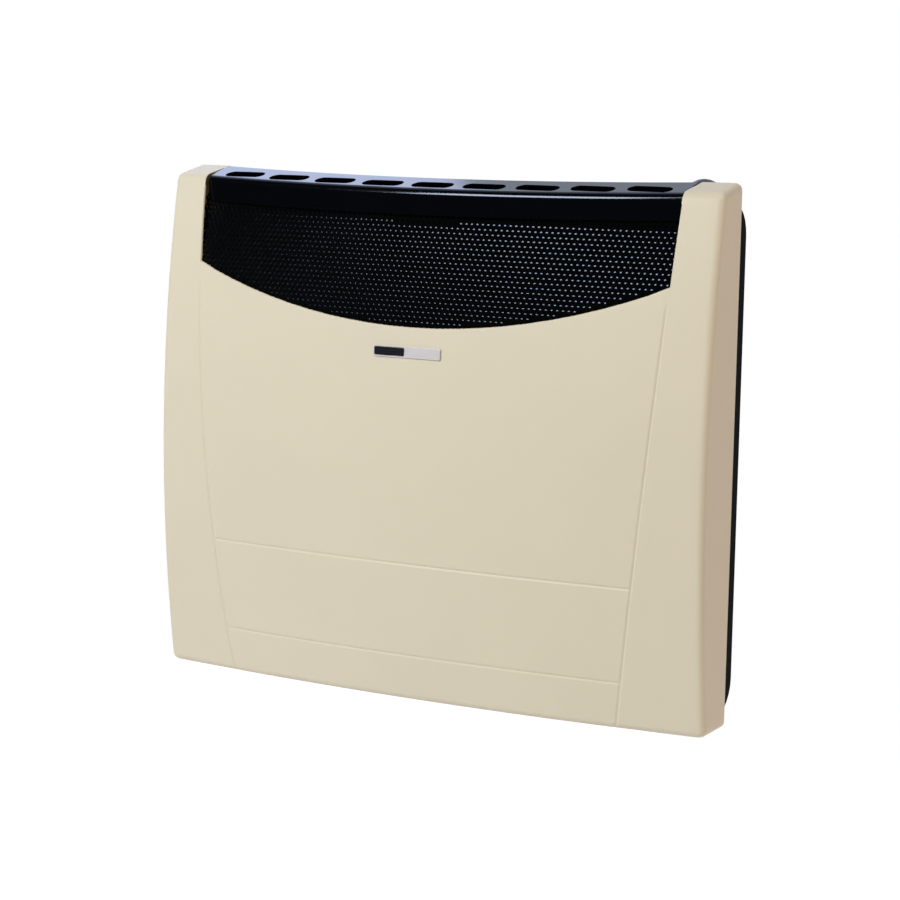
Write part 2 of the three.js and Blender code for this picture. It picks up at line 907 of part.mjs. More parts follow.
function trayBlock(offset, front) {
  return sideSlab(trayProfile(offset, front), -tray.width / 2 + offset, tray.width - 2 * offset);
}

function keyhole(x) {
  const headHeight = hangHeight - tray.keyholeDrop;
  const head = rod(tray.keyholeHeadRadius, [x, -overrun, headHeight], [x, overrun, headHeight], smallSides);
  const neck = rod(tray.keyholeNeckRadius, [x, -overrun, hangHeight], [x, overrun, hangHeight], smallSides);
  const slot = block(
    [x - tray.keyholeNeckRadius, x + tray.keyholeNeckRadius],
    [-overrun, overrun],
    [headHeight, hangHeight],
  );
  return join(head, neck, slot);
}

function rearTray() {
  const { sheet, flange, width } = tray;
  const mouth = block(
    [-width / 2 + flange, width / 2 - flange],
    [-trayDepth - overrun, -trayDepth + sheet + overrun],
    [tray.foot + flange, tray.top - flange],
  );
  const body = cut(trayBlock(0, trayDepth), trayBlock(sheet, trayDepth - sheet), mouth);
  const flueHole = rod(flue.airRadius + seatGap, [0, -overrun, flue.height], [0, overrun, flue.height]);
  const topHole = (radius, x) => {
    const from = [x, -valve.depth, tray.top - tray.bendRadius];
    return rod(radius, from, [x, -valve.depth, tray.top + overrun]);
  };
  const gasHole = rod(
    inlet.trayHoleRadius,
    [valve.x, -valve.depth, tray.foot - overrun],
    [valve.x, -valve.depth, tray.foot + tray.bendRadius],
    smallSides,
  );
  return cut(
    body,
    flueHole,
    keyhole(-tray.keyholeX),
    keyhole(tray.keyholeX),
    topHole(bezel.spindleHole, valve.x),
    topHole(igniter.bodyRadius + seatGap, igniter.x),
    gasHole,
  );
}

// The span between two distances from the middle, on the left (side -1) or the right (side 1)
function sideSpan(side, near, far) {
  return side < 0 ? [-far, -near] : [near, far];
}

// Where a piece stands on the front of the tray's flange, and where one clears the casing's flange
const onTray = -trayDepth - seatGap;
const beforeFlange = -casingRear - casing.sheet - seatGap;

// Clip that holds the casing's rear flange down on the tray
function casingClip(side) {
  const { width, sheet, hold, land } = clipSizes;
  const height = casing.height - fromTop.clip;
  const outer = tray.width / 2 - land;
  const flangeInner = halfWidth - casing.rearFlange;
  const z = [height - width / 2, height + width / 2];
  const leg = block(sideSpan(side, outer, flangeInner - seatGap), [beforeFlange - sheet, onTray], z);
  const tongue = block(sideSpan(side, outer, flangeInner + hold), [beforeFlange - sheet, beforeFlange], z);
  return join(leg, tongue);
}

// Angle on the tray's flange that the foot of the casing is screwed to
function casingTab(side) {
  const { width, sheet, rise, reach } = tabSizes;
  const middle = halfWidth - screw.inset;
  const near = middle - width / 2;
  const far = middle + width / 2;
  const foot = casing.sheet + seatGap;
  const leg = block(sideSpan(side, near, far), [beforeFlange - sheet, beforeFlange], [foot, rise]);
  const sole = block(sideSpan(side, near, far), [beforeFlange - reach, beforeFlange], [foot, foot + sheet]);
  const packerEnd = halfWidth - casing.rearFlange - seatGap;
  const packer = block(sideSpan(side, near, packerEnd), [beforeFlange - sheet, onTray], [foot, rise]);
  const x = side * middle;
  const radius = screw.radius + runningGap;
  const hole = rod(radius, [x, -screw.depth, 0], [x, -screw.depth, overrun], smallSides);
  return cut(join(leg, sole, packer), hole);
}

function casingScrew(side) {
  const at = (height) => [side * (halfWidth - screw.inset), -screw.depth, height];
  const top = -seatGap;
  const foot = top - screw.headHeight / 2;
  const head = rod(screw.headRadius, at(top - screw.headHeight), at(top), smallSides);
  const shank = rod(screw.radius, at(foot), at(foot + screw.length), smallSides);
  return join(head, shank);
}

// Bracket from the tray's flange up to the underside of the grille, between two of its slots
function grilleBracket(side) {
  const { width, sheet, reach } = grilleBracketSizes;
  const x = (grilleSlot.count / 2 - 1) * slotPitch;
  const foot = casing.height - fromTop.grilleBracket;
  const drop = grille.sag * grilleBow(x);
  const rear = grilleRear(x);
  const run = grilleFront(x) - grille.edgeRadius - rear;
  const fallShare = (grille.rearHeight - grille.frontHeight) / run;
  const highest = grille.rearHeight - drop - grille.sheet - 2 * seatGap;
  const underside = (depth) => highest - (depth - rear) * fallShare;
  const near = rear + grille.sheet + seatGap;
  const profile = [
    new THREE.Vector2(onTray, foot),
    new THREE.Vector2(onTray, tray.top),
    new THREE.Vector2(-near - sheet, underside(near + sheet) - grille.rearFlange),
    new THREE.Vector2(-near - sheet, underside(near + sheet)),
    new THREE.Vector2(-near - reach, underside(near + reach)),
    new THREE.Vector2(-near - reach, underside(near + reach) - sheet),
    new THREE.Vector2(-near - 2 * sheet, underside(near + 2 * sheet) - sheet),
    new THREE.Vector2(-near - 2 * sheet, underside(near + sheet) - grille.rearFlange - sheet),
    new THREE.Vector2(onTray - sheet, tray.top - sheet),
    new THREE.Vector2(onTray - sheet, foot),
  ];
  return sideSlab(profile, side * x - width / 2, width);
}

// Chamber

const chamberMiddle = (chamber.foot + chamber.top) / 2;
const frontPanDepth = chamber.splitDepth + chamber.gasket + 2 * seatGap;

function chamberOutline(grow) {
  const height = chamber.top - chamber.foot;
  return roundedRectangle(
    chamber.width + 2 * grow,
    height + 2 * grow,
    chamber.cornerRadius + grow,
    0,
    chamberMiddle,
  );
}

function chamberRearPan() {
  const { rearDepth, splitDepth, sheet } = chamber;
  const body = frontSlab(chamberOutline(0), rearDepth, splitDepth - rearDepth);
  const flange = frontSlab(chamberOutline(chamber.flange), splitDepth - sheet, sheet);
  const hollow = frontSlab(chamberOutline(-sheet), rearDepth + sheet, splitDepth);
  const exhaust = rod(
    flue.exhaustRadius - flue.wall,
    [0, -rearDepth - overrun, flue.height],
    [0, -rearDepth + overrun, flue.height],
  );
  const air = block(
    [-intake.width / 2, intake.width / 2],
    [-rearDepth - overrun, -rearDepth + overrun],
    [intake.middleHeight - intake.height / 2, intake.middleHeight + intake.height / 2],
  );
  const gas = rod(
    injectorSizes.holderRadius + seatGap,
    [chamber.width / 2 - overrun, -burner.depth, burner.height],
    [chamber.width / 2 + overrun, -burner.depth, burner.height],
    smallSides,
  );
  return cut(join(body, flange), hollow, exhaust, air, gas);
}

function chamberGasket() {
  const depth = chamber.splitDepth + seatGap;
  const sheet = frontSlab(chamberOutline(chamber.flange), depth, chamber.gasket);
  return cut(sheet, frontSlab(chamberOutline(0), depth - overrun, chamber.gasket + 2 * overrun));
}

// Pressed rib: a half-round bar with tapering ends, shrunk by a margin for its hollow side
function chamberRib(x, shrink) {
  const { frontDepth, sheet } = chamber;
  const base = frontDepth - sheet / 2 - shrink;
  const top = chamber.top - rib.belowTop;
  const endShare = 0.1;
  const stations = [
    [rib.foot + shrink, endShare],
    [rib.foot + rib.radius, 1],
    [top - rib.radius, 1],
    [top - shrink, endShare],
  ];
  const rings = stations.map(([height, sizeShare]) =>
    arcPoints(0, 0, 1, 0, 180 * degree, 2 * cornerSteps).map((point) => new THREE.Vector3(
      x + point.x * (rib.radius - shrink) * sizeShare,
      -base - point.y * (rib.height + sheet / 2) * sizeShare,
      height,
    )));
  return loft(rings);
}

function doorOutline(grow) {
  const { width, height, cornerRadius, middleHeight } = door;
  return roundedRectangle(width + 2 * grow, height + 2 * grow, cornerRadius, 0, middleHeight);
}

function chamberFrontPan() {
  const { frontDepth, sheet } = chamber;
  const ribPitch = (chamber.width - 2 * rib.margin) / (rib.count - 1);
  let pan = frontSlab(chamberOutline(0), frontPanDepth, frontDepth - frontPanDepth);
  pan = join(pan, frontSlab(chamberOutline(chamber.flange), frontPanDepth, sheet));
  const hollow = frontSlab(
    chamberOutline(-sheet),
    frontPanDepth - overrun,
    frontDepth - frontPanDepth - sheet + overrun,
  );
  const places = Array.from({ length: rib.count }, (_, i) => (i - (rib.count - 1) / 2) * ribPitch);
  pan = join(pan, ...places.map((x) => chamberRib(x, 0)));
  const aperture = frontSlab(doorOutline(-door.apertureMargin), frontPanDepth, frontDepth);
  return cut(pan, hollow, ...places.map((x) => chamberRib(x, sheet)), aperture);
}

function chamberBracket(side, height) {
  const { sheet, foot, head, width } = bracket;
  const web = chamber.width / 2 + head + sheet;
  const rear = -tray.sheet - seatGap;
  const front = -chamber.splitDepth + chamber.sheet + seatGap;
  const z = [height - width / 2, height + width / 2];
  return join(
    block(sideSpan(side, web, web + foot), [rear - sheet, rear], z),
    block(sideSpan(side, web, web + sheet), [front, rear], z),
    block(sideSpan(side, web - head, web + sheet), [front, front + sheet], z),
  );
}

// Channel that keeps the heat off the tray's back and the wall screws
function rearHeatShield() {
  const { beyondKeyhole, aboveChamber, aboveKeyhole, depth, sheet } = heatShield;
  const half = tray.keyholeX + beyondKeyhole;
  const foot = chamber.top + aboveChamber;
  const top = hangHeight + aboveKeyhole;
  const rear = -tray.sheet - seatGap;
  const hollow = block([-2 * half, 2 * half], [-depth, rear + overrun], [foot + sheet, top - sheet]);
  return cut(block([-half, half], [-depth - sheet, rear], [foot, top]), hollow);
}

// Burner door with its sight glass

const doorDepth = chamber.frontDepth + seatGap + door.gasket + seatGap;

function doorGasket() {
  const depth = chamber.frontDepth + seatGap;
  const sheet = frontSlab(doorOutline(0), depth, door.gasket);
  return cut(sheet, frontSlab(doorOutline(-door.apertureMargin), depth - overrun, door.gasket + 2 * overrun));
}

// Places of the pilot burner, the flame sensor and the spark electrode across the sight glass
const pilotX = glass.x - pilot.spacing;
const sensorX = glass.x;
const sparkX = glass.x + pilot.spacing;

// Holes that the pilot pipe and the two leads pass through, front to back
function leadHoles() {
  const leads = [[pilotX, pipe.pilotRadius], [sensorX, pipe.leadRadius], [sparkX, pipe.cableRadius]];
  return leads.map(([x, radius]) => rod(
    radius + pipe.holeClearance,
    [x, -doorDepth - overrun, pilot.exitHeight],
    [x, -chamber.frontDepth + overrun, pilot.exitHeight],
    smallSides,
  ));
}

function burnerDoor() {
  const plate = frontSlab(doorOutline(0), doorDepth, door.sheet);
  const view = rod(
    glass.viewRadius,
    [glass.x, -doorDepth - overrun, glass.height],
    [glass.x, -doorDepth + overrun, glass.height],
  );
  return cut(plate, view, ...leadHoles());
}

const glassDepth = doorDepth + door.sheet + seatGap;

function sightGlass() {
  const front = -glassDepth - glass.thickness;
  return rod(glass.radius, [glass.x, -glassDepth, glass.height], [glass.x, front, glass.height]);
}

function sightGlassRing() {
  const seat = -glassDepth - glass.thickness - seatGap;
  const ring = tube(
    glass.ringRadius,
    glass.viewRadius,
    [glass.x, -glassDepth, glass.height],
    [glass.x, seat - glass.ringSheet, glass.height],
  );
  return cut(ring, rod(
    glass.radius + seatGap,
    [glass.x, -glassDepth + overrun, glass.height],
    [glass.x, seat, glass.height],
  ));
}

// Flue and air duct

function airDuct() {
  const { width, sheet, cornerRadius } = duct;
  const foot = chamber.foot + duct.aboveFoot;
  const top = chamber.top - duct.belowTop;
  const rear = tray.sheet + seatGap;
  const depth = chamber.rearDepth - seatGap - rear;
  const middle = (foot + top) / 2;
  const outer = roundedRectangle(width, top - foot, cornerRadius, 0, middle);
  const inner = roundedRectangle(width - 2 * sheet, top - foot - 2 * sheet, cornerRadius - sheet, 0, middle);
  return cut(frontSlab(outer, rear, depth), frontSlab(inner, rear - overrun, depth + 2 * overrun));
}

function exhaustSpigot() {
  const { exhaustRadius, wall, exhaustReach, exhaustFlangeRadius, flangeSheet, height } = flue;
  const front = -chamber.rearDepth + seatGap;
  const bore = exhaustRadius - wall;
  const flange = tube(exhaustFlangeRadius, bore, [0, front, height], [0, front + flangeSheet, height]);
  return join(flange, tube(exhaustRadius, bore, [0, front, height], [0, exhaustReach, height]));
}

function airCollar() {
  const { airRadius, wall, airReach, airFlangeRadius, flangeSheet, height } = flue;
  const rear = -tray.sheet - seatGap;
  const bore = airRadius - wall;
  const flange = tube(airFlangeRadius, bore, [0, rear - flangeSheet, height], [0, rear, height]);
  return join(flange, tube(airRadius, bore, [0, rear - flangeSheet, height], [0, airReach, height]));
}

// Burner and injector

const burnerSides = 16;

function burnerTube() {
  const { radius, wall, halfLength, mouthRadius, mouthLength, depth, height } = burner;
  const at = (x) => [x, -depth, height];
  const neck = halfLength - mouthLength;
  const body = join(
    rod(radius, at(-halfLength), at(neck + wall), burnerSides),
    rod(radius, at(neck), at(halfLength), burnerSides, mouthRadius),
  );
  const bore = rod(radius - wall, at(-halfLength + wall), at(halfLength), burnerSides);
  const mouth = rod(radius - wall, at(neck), at(halfLength + wall), burnerSides, mouthRadius);
  const portPitch = (2 * (halfLength - burner.portMargin)) / (burner.portCount - 1);
  const ports = Array.from({ length: burner.portCount }, (_, i) => {
    const x = (i - (burner.portCount - 1) / 2) * portPitch;
    return block(
      [x - burner.portWidth / 2, x + burner.portWidth / 2],
      [-depth - radius * burner.portShare, -depth + radius * burner.portShare],
      [height, height + radius + overrun],
    );
  });
  return cut(body, bore, mouth, ...ports);
}

function burnerStand(side) {
  const { standWidth, standSheet, depth, height, radius } = burner;
  const standX = burner.halfLength - burner.standInset;
  const foot = chamber.foot + chamber.sheet + seatGap;
  const y = [-depth - standWidth / 2 + seatGap, -depth + standWidth / 2 - seatGap];
  const upright = block(sideSpan(side, standX, standX + standSheet), y, [foot, height]);
  const sole = block(sideSpan(side, standX, standX + standWidth / 2), y, [foot, foot + standSheet]);
  const cradle = rod(
    radius + seatGap,
    [side * (standX - overrun), -depth, height],
    [side * (standX + standWidth), -depth, height],
  );
  return cut(join(upright, sole), cradle);
}

const injectorTip = burner.halfLength + injectorSizes.gap;

function injector() {
  const { radius, length, bore } = injectorSizes;
  const at = (x) => [x, -burner.depth, burner.height];
  return tube(radius, bore, at(injectorTip), at(injectorTip + length), smallSides);
}

function injectorHolder() {
  const { holderRadius, collarRadius, collarSheet, elbowReach, elbowRadius, elbowDrop } = injectorSizes;
  const at = (x) => [x, -burner.depth, burner.height];
  const start = injectorTip + injectorSizes.length + seatGap;
  const wallFace = chamber.width / 2 + seatGap;
  const elbow = wallFace + elbowReach;
  return join(
    rod(holderRadius, at(start), at(elbow), smallSides),
    rod(collarRadius, at(wallFace), at(wallFace + collarSheet), smallSides),
    rod(
      elbowRadius,
      [elbow, -burner.depth, burner.height + elbowRadius],
      [elbow, -burner.depth, burner.height - elbowDrop],
      smallSides,
    ),
  );
}

function feedPipe() {
  const { x, width, outletLength, outletHeight, depth } = valve;
  const start = x - width / 2 - outletLength - seatGap;
  const elbow = chamber.width / 2 + seatGap + injectorSizes.elbowReach;
  const end = burner.height - injectorSizes.elbowDrop - seatGap;
  const bend = 2 * pipe.feedRadius;
  return runPipe(pipe.feedRadius, [
    [start, -depth, outletHeight],
    [start - bend, -depth, outletHeight],
    [start - bend, -depth - 2 * bend, outletHeight + bend],
    [elbow, -burner.depth, end - 3 * bend],
    [elbow, -burner.depth, end - bend],
    [elbow, -burner.depth, end],
  ]);
}

// Pilot group on its bracket behind the sight glass

function pilotBracket() {
  const rear = -pilot.depth + pilot.reach;
  const front = -doorDepth + seatGap;
  const x = [glass.x - pilot.width / 2, glass.x + pilot.width / 2];
  const plate = block(x, [front, rear], [pilot.height, pilot.height + pilot.sheet]);
  const flange = block(x, [front, front + pilot.sheet], [pilot.flangeFoot, pilot.height + pilot.sheet]);
  const seats = [
    [pilotX, pilot.stubRadius],
    [sensorX, pilot.sensorRadius],
    [sparkX, pilot.insulatorRadius],
  ].map(([seatX, radius]) => rod(
    radius + seatGap,
    [seatX, -pilot.depth, pilot.height - overrun],
    [seatX, -pilot.depth, pilot.height + overrun],
    smallSides,
  ));
  return cut(join(plate, flange), ...seats, ...leadHoles());
}

function pilotBurner() {
  const { hoodRadius, hoodBore, hoodTop, stubRadius, stubFoot, height, sheet, depth } = pilot;
  const at = (z) => [pilotX, -depth, z];
  const seat = height + sheet + seatGap;
  const flameSlot = block(
    [pilotX - pilot.flameSlot / 2, pilotX + pilot.flameSlot / 2],
    [-depth, -depth + hoodRadius + overrun],
    [pilot.flameSlotFoot, hoodTop + overrun],
  );
  const hood = rod(hoodRadius, at(seat), at(hoodTop), smallSides);
  const stub = rod(stubRadius, at(stubFoot), at(seat + seatGap), smallSides);
  const bore = rod(hoodBore, at(seat + hoodBore), at(hoodTop + overrun), smallSides);
  return cut(join(hood, stub), bore, flameSlot);
}

// Start of a lead: down from its fitting, forwards through the door and out to its lane
function leadStart(x, from, lane) {
  const { exitHeight, depth } = pilot;
  const { straight, laneDepth } = pipe;
  const doorFace = doorDepth + door.sheet + seatGap;
  return [
    [x, -depth, from],
    [x, -depth, from - straight / 4],
    [x, -depth - straight / 2, exitHeight],
    [x, -doorFace, exitHeight],
    [x, -doorFace - straight / 4, exitHeight],
    [x + straight, -laneDepth, lane],
    [sparkX + 2 * straight, -laneDepth, lane],
    [valve.x - pipe.laneEndOffset - straight, -laneDepth, lane],
    [valve.x - pipe.laneEndOffset, -laneDepth, lane],
  ];
}

// End of a lead: straight back into a fitting that faces the room
function leadEnd(x, face, height) {
  return [
    [x, -face - pipe.straight, height],
    [x, -face, height],
  ];
}

function pilotPipe() {
  const lane = pilot.exitHeight - 2 * pipe.lanePitch;
  const face = valve.depth + valve.thickness / 2 + valve.pilotOutletLength + seatGap;
  return runPipe(pipe.pilotRadius, [
    ...leadStart(pilotX, pilot.stubFoot - seatGap, lane),
    ...leadEnd(valve.x - valve.pilotOutletOffset, face, valve.pilotOutletHeight),
  ]);
}

function thermocouple() {
  const { sensorRadius, sensorTop, sensorFoot, depth } = pilot;
  const foot = sensorFoot - pipe.leadRadius;
  const sensor = rod(sensorRadius, [sensorX, -depth, foot], [sensorX, -depth, sensorTop], smallSides);
  const lane = pilot.exitHeight - pipe.lanePitch;
  const face = valve.depth + valve.thickness / 2 + valve.magnetLength + seatGap;
  const lead = runPipe(pipe.leadRadius, [
    ...leadStart(sensorX, sensorFoot, lane),
    ...leadEnd(valve.x, face, valve.magnetHeight),
  ]);
  return join(sensor, lead);
}

function electrodeInsulator() {
  const { insulatorRadius, insulatorTop, insulatorFoot, wireRadius, depth } = pilot;
  return tube(
    insulatorRadius,
    wireRadius + runningGap,
    [sparkX, -depth, insulatorFoot],
    [sparkX, -depth, insulatorTop],
    smallSides,
  );
}

function electrodeWire() {
  const { insulatorTop, insulatorFoot, wireRadius, wireTop, spacing, depth } = pilot;
  return runPipe(wireRadius, [
    [sparkX, -depth, insulatorFoot],
    [sparkX, -depth, insulatorTop],
    [sparkX, -depth, insulatorTop + 2 * wireRadius],
    [sparkX - spacing / 2, -depth, wireTop],
  ]);
}

function ignitionLead() {
  const lane = pilot.exitHeight;
  const { riserDepth, riserBend, laneDepth, straight } = pipe;
  const riserX = valve.x - pipe.riserOffset;
  const top = igniter.bodyFoot - seatGap;
  return runPipe(pipe.cableRadius, [
    ...leadStart(sparkX, pilot.insulatorFoot - seatGap, lane),
    [riserX, -(laneDepth + riserDepth) / 2, lane + riserBend],
    [riserX, -riserDepth, lane + 2 * riserBend],
    [riserX, -riserDepth, top - 2 * riserBend],
    [igniter.x, -valve.depth, top - straight],
    [igniter.x, -valve.depth, top],
  ]);
}

// Gas valve and control line

function valveBracket() {
  const { sheet, width, foot, top, cornerRadius } = valvePlate;
  const outline = roundedRectangle(width, top - foot, cornerRadius, valve.x, (foot + top) / 2);
  return frontSlab(outline, tray.sheet + seatGap, sheet);
}

function valveBody() {
  const { x, depth, width, thickness, cornerRadius, foot, top } = valve;
  const face = depth + thickness / 2;
  const pilotX = x - valve.pilotOutletOffset;
  return join(
    planSlab(roundedRectangle(width, thickness, cornerRadius, x, -depth), foot, top - foot),
    rod(valve.inletRadius, [x, -depth, foot - valve.inletLength], [x, -depth, foot + seatGap], smallSides),
    rod(
      valve.outletRadius,
      [x - width / 2 - valve.outletLength, -depth, valve.outletHeight],
      [x, -depth, valve.outletHeight],
      smallSides,
    ),
    rod(
      valve.pilotOutletRadius,
      [pilotX, -face - valve.pilotOutletLength, valve.pilotOutletHeight],
      [pilotX, -depth, valve.pilotOutletHeight],
      smallSides,
    ),
  );
}

function magnetUnit() {
  const { x, depth, thickness, magnetRadius, magnetTipRadius, magnetLength, magnetHeight } = valve;
  const face = -depth - thickness / 2 - seatGap;
  const tip = face - magnetLength + seatGap;
  return join(
    rod(magnetRadius, [x, face, magnetHeight], [x, (face + tip) / 2, magnetHeight], nutSides),
    rod(magnetTipRadius, [x, face, magnetHeight], [x, tip, magnetHeight], smallSides),
  );
}

function valveHead() {
  const { x, depth, top, headHeight, headWidth, headThickness, headCornerRadius, pinRadius, pinFoot } = valve;
  const outline = roundedRectangle(headWidth, headThickness, headCornerRadius, x, -depth);
  const bore = rod(
    pinRadius + runningGap,
    [x, -depth, pinFoot - press - runningGap],
    [x, -depth, top + headHeight + overrun],
    smallSides,
  );
  return cut(planSlab(outline, top + seatGap, headHeight), bore);
}

function stemAt(z) {
  return [valve.x, -valve.depth, z];
}

function valvePin() {
  return rod(valve.pinRadius, stemAt(valve.pinFoot), stemAt(valve.pinTop), smallSides);
}

const couplingFoot = valve.pinTop + seatGap;

function spindleCoupling() {
  const { radius, couplingRadius, couplingLength, couplingFloor } = spindle;
  const body = rod(couplingRadius, stemAt(couplingFoot), stemAt(couplingFoot + couplingLength), smallSides);
  const bore = rod(
    radius + seatGap,
    stemAt(couplingFoot + couplingFloor),
    stemAt(couplingFoot + couplingLength + overrun),
    smallSides,
  );
  return cut(body, bore);
}

function controlSpindle() {
  const foot = couplingFoot + spindle.couplingFloor + seatGap;
  return rod(spindle.radius, stemAt(foot), stemAt(knob.foot + knob.boreDepth - seatGap), smallSides);
}

function spindleBush() {
  const bore = spindle.radius + runningGap;
  const seat = shelf.height + shelf.sheet + seatGap;
  return join(
    tube(bush.radius, bore, stemAt(shelf.height - bush.drop), stemAt(seat + bush.flangeSheet), smallSides),
    tube(bush.flangeRadius, bore, stemAt(seat), stemAt(seat + bush.flangeSheet), smallSides),
  );
}

// Shelf inside the tray's top corner that carries the bush and clamps the igniter
function controlShelf() {
  const { height, sheet, flange, left, right, depth } = shelf;
  const rear = -tray.sheet - seatGap;
  const plate = block([left, right], [-depth, rear], [height, height + sheet]);
  const upright = block([left, right], [rear - sheet, rear], [height - flange, height + sheet]);
  const hole = (radius, x) => rod(
    radius,
    [x, -valve.depth, height - overrun],
    [x, -valve.depth, height + overrun],
  );
  return cut(
    join(plate, upright),
    hole(bush.radius + seatGap, valve.x),
    hole(igniter.bodyRadius + seatGap, igniter.x),
  );
}

// Moulded bezel, flat on top and shaped below to the tray's rounded shoulder
function controlBezel() {
  const middle = (valve.x + igniter.x) / 2;
  const outline = capsule(valve.x - igniter.x + bezel.width, bezel.width, middle, -valve.depth);
  const hole = (radius, x) => rod(
    radius,
    [x, -valve.depth, bezel.foot - overrun],
    [x, -valve.depth, bezel.top + overrun],
  );
  return cut(
    planSlab(outline, bezel.foot, bezel.top - bezel.foot),
    trayBlock(-seatGap, trayDepth),
    hole(bezel.spindleHole, valve.x),
    hole(igniter.bodyRadius + seatGap, igniter.x),
  );
}

function controlKnob() {
  const { radius, foot, top, domeRadius, boreDepth, fluteCount, fluteRadius, fluteDepth } = knob;
  const centre = top - domeRadius;
  const rim = Math.asin(radius / domeRadius);
  const dome = arcPoints(0, centre, domeRadius, 90 * degree - rim, 90 * degree, cornerSteps);
  const profile = [new THREE.Vector2(0, foot), new THREE.Vector2(radius, foot), ...dome];
  profile.at(-1).x = 0;
  const turned = new THREE.LatheGeometry(profile, roundSides);
  turned.rotateX(90 * degree);
  turned.translate(valve.x, -valve.depth, 0);
  const flutes = Array.from({ length: fluteCount }, (_, i) => {
    const turn = (360 * degree * (i + 1 / 2)) / fluteCount;
    const reach = radius + fluteRadius - fluteDepth;
    const x = valve.x + reach * Math.cos(turn);
    const y = -valve.depth + reach * Math.sin(turn);
    return rod(fluteRadius, [x, y, foot - overrun], [x, y, top], pipeSides);
  });
  const bore = rod(spindle.radius + seatGap, stemAt(foot - overrun), stemAt(foot + boreDepth), smallSides);
  return cut(toSolid(turned), bore, ...flutes);
}

// Piezo igniter

function igniterAt(z) {
  return [igniter.x, -valve.depth, z];
}

const collarFoot = bezel.top + seatGap;
const collarTop = collarFoot + igniter.collarSheet;

function igniterBody() {
  const { bodyRadius, collarRadius, bodyFoot, buttonRadius, buttonSunk, travel } = igniter;
  return cut(
    join(
      rod(bodyRadius, igniterAt(bodyFoot), igniterAt(collarTop)),
      rod(collarRadius, igniterAt(collarFoot), igniterAt(collarTop)),
    ),
    rod(
      buttonRadius + runningGap,
      igniterAt(collarTop - buttonSunk - travel - runningGap),
      igniterAt(collarTop + overrun),
    ),
  );
}

function igniterButton() {
  const { buttonRadius, buttonRise, buttonSunk } = igniter;
  return rod(buttonRadius, igniterAt(collarTop - buttonSunk), igniterAt(collarTop + buttonRise));
}

function igniterNut() {
  const top = shelf.height - seatGap;
  return tube(
    igniter.nutRadius,
    igniter.bodyRadius + seatGap,
    igniterAt(top - igniter.nutSheet),
    igniterAt(top),
  );
}

// Gas connection below the valve

const inletTop = valve.foot - valve.inletLength - seatGap;

function inletNipple() {
  const { radius, bore, foot, collarRadius, collarHeight } = inlet;
  return join(
    tube(radius, bore, stemAt(foot), stemAt(inletTop)),
    tube(collarRadius, bore, stemAt(inletTop - collarHeight), stemAt(inletTop)),
  );
}

function inletUnionNut() {
  const { radius, collarRadius, collarHeight, nutRadius, nutLip, nutGrip } = inlet;
  const seat = inletTop - collarHeight - seatGap;
  const top = inletTop + nutGrip;
  return cut(
    rod(nutRadius, stemAt(seat - nutLip), stemAt(top), nutSides),
    rod(radius + seatGap, stemAt(seat - nutLip - overrun), stemAt(top + overrun), roundSides),
    rod(collarRadius + seatGap, stemAt(seat), stemAt(top + overrun), roundSides),
  );
}

// Thermostat phial in the cool air at the foot, with its capillary to the valve head

function thermostatPhial() {
  const { radius, length, x, depth, height, capillaryDepth, capillaryHeight } = phial;
  const end = x + length / 2;
  const face = valve.depth + valve.headThickness / 2 + seatGap;
  const capillary = runPipe(phial.capillaryRadius, [
    [end - radius, -depth, height],
    [end + length / 2, -depth, height],
    [valve.x, -capillaryDepth, height],
    [valve.x + phial.capillaryOffset, -capillaryDepth, capillaryHeight],
    ...leadEnd(valve.x + phial.portOffset, face, valve.top + valve.headHeight / 2),
  ]);
  const bulb = rod(radius, [x - length / 2, -depth, height], [end, -depth, height], smallSides);
  return join(bulb, capillary);
}

function phialClip() {
  const { width, sheet, foot, reach, rise } = phialClipSizes;
  const x = [phial.x - width / 2, phial.x + width / 2];
  const seat = phial.height - phial.radius - seatGap;
  return join(
    block(x, [onTray - sheet, onTray], [foot, seat]),
    block(x, [onTray - reach, onTray], [seat - sheet, seat]),
    block(x, [onTray - reach, onTray - reach + sheet], [seat - sheet, seat + rise]),
  );
}

// Assembly

const heater = new THREE.Group();
const assembly = new THREE.Group();
assembly.position.z = -hangHeight;
heater.add(assembly);

function add(name, solid, surface, parent = assembly) {
  const mesh = new THREE.Mesh(toGeometry(solid), surface);
  mesh.name = name;
  parent.add(mesh);
}

const sides = [['left', -1], ['right', 1]];

function addCasing() {
  add('front_casing', frontCasing(), materials.creamEnamel);
  add('top_grille', topGrille(), materials.blackEnamel);
  add('outlet_screen', outletScreen(), materials.blackSteel);
  const badgeGroup = new THREE.Group();
  const height = smile.lowest - badge.belowSmile;
  const lean = Math.asin((height - casing.bellyHeight) / upperBellyRadius);
  const depth = casingRear + bellyAt(height) + bowAt(0) + seatGap;
  badgeGroup.position.set(badge.middleX, -depth, height);
  badgeGroup.rotation.x = -lean;
  assembly.add(badgeGroup);
  add('badge_plate', badgePlate(), materials.silverBadge, badgeGroup);
  add('badge_inlay', badgeInlay(), materials.darkBadge, badgeGroup);
}

function addChassis() {
  add('rear_tray', rearTray(), materials.blackSteel);
  add('rear_heat_shield', rearHeatShield(), materials.zincSteel);
  for (const [name, side] of sides) {
    add(`casing_clip_${name}`, casingClip(side), materials.zincSteel);
    add(`casing_tab_${name}`, casingTab(side), materials.zincSteel);
    add(`casing_screw_${name}`, casingScrew(side), materials.zincSteel);
    add(`grille_bracket_${name}`, grilleBracket(side), materials.blackSteel);
    add(`chamber_bracket_lower_${name}`, chamberBracket(side, bracket.lowHeight), materials.zincSteel);
    const highHeight = chamber.top - bracket.belowTop;
    add(`chamber_bracket_upper_${name}`, chamberBracket(side, highHeight), materials.zincSteel);
  }
}

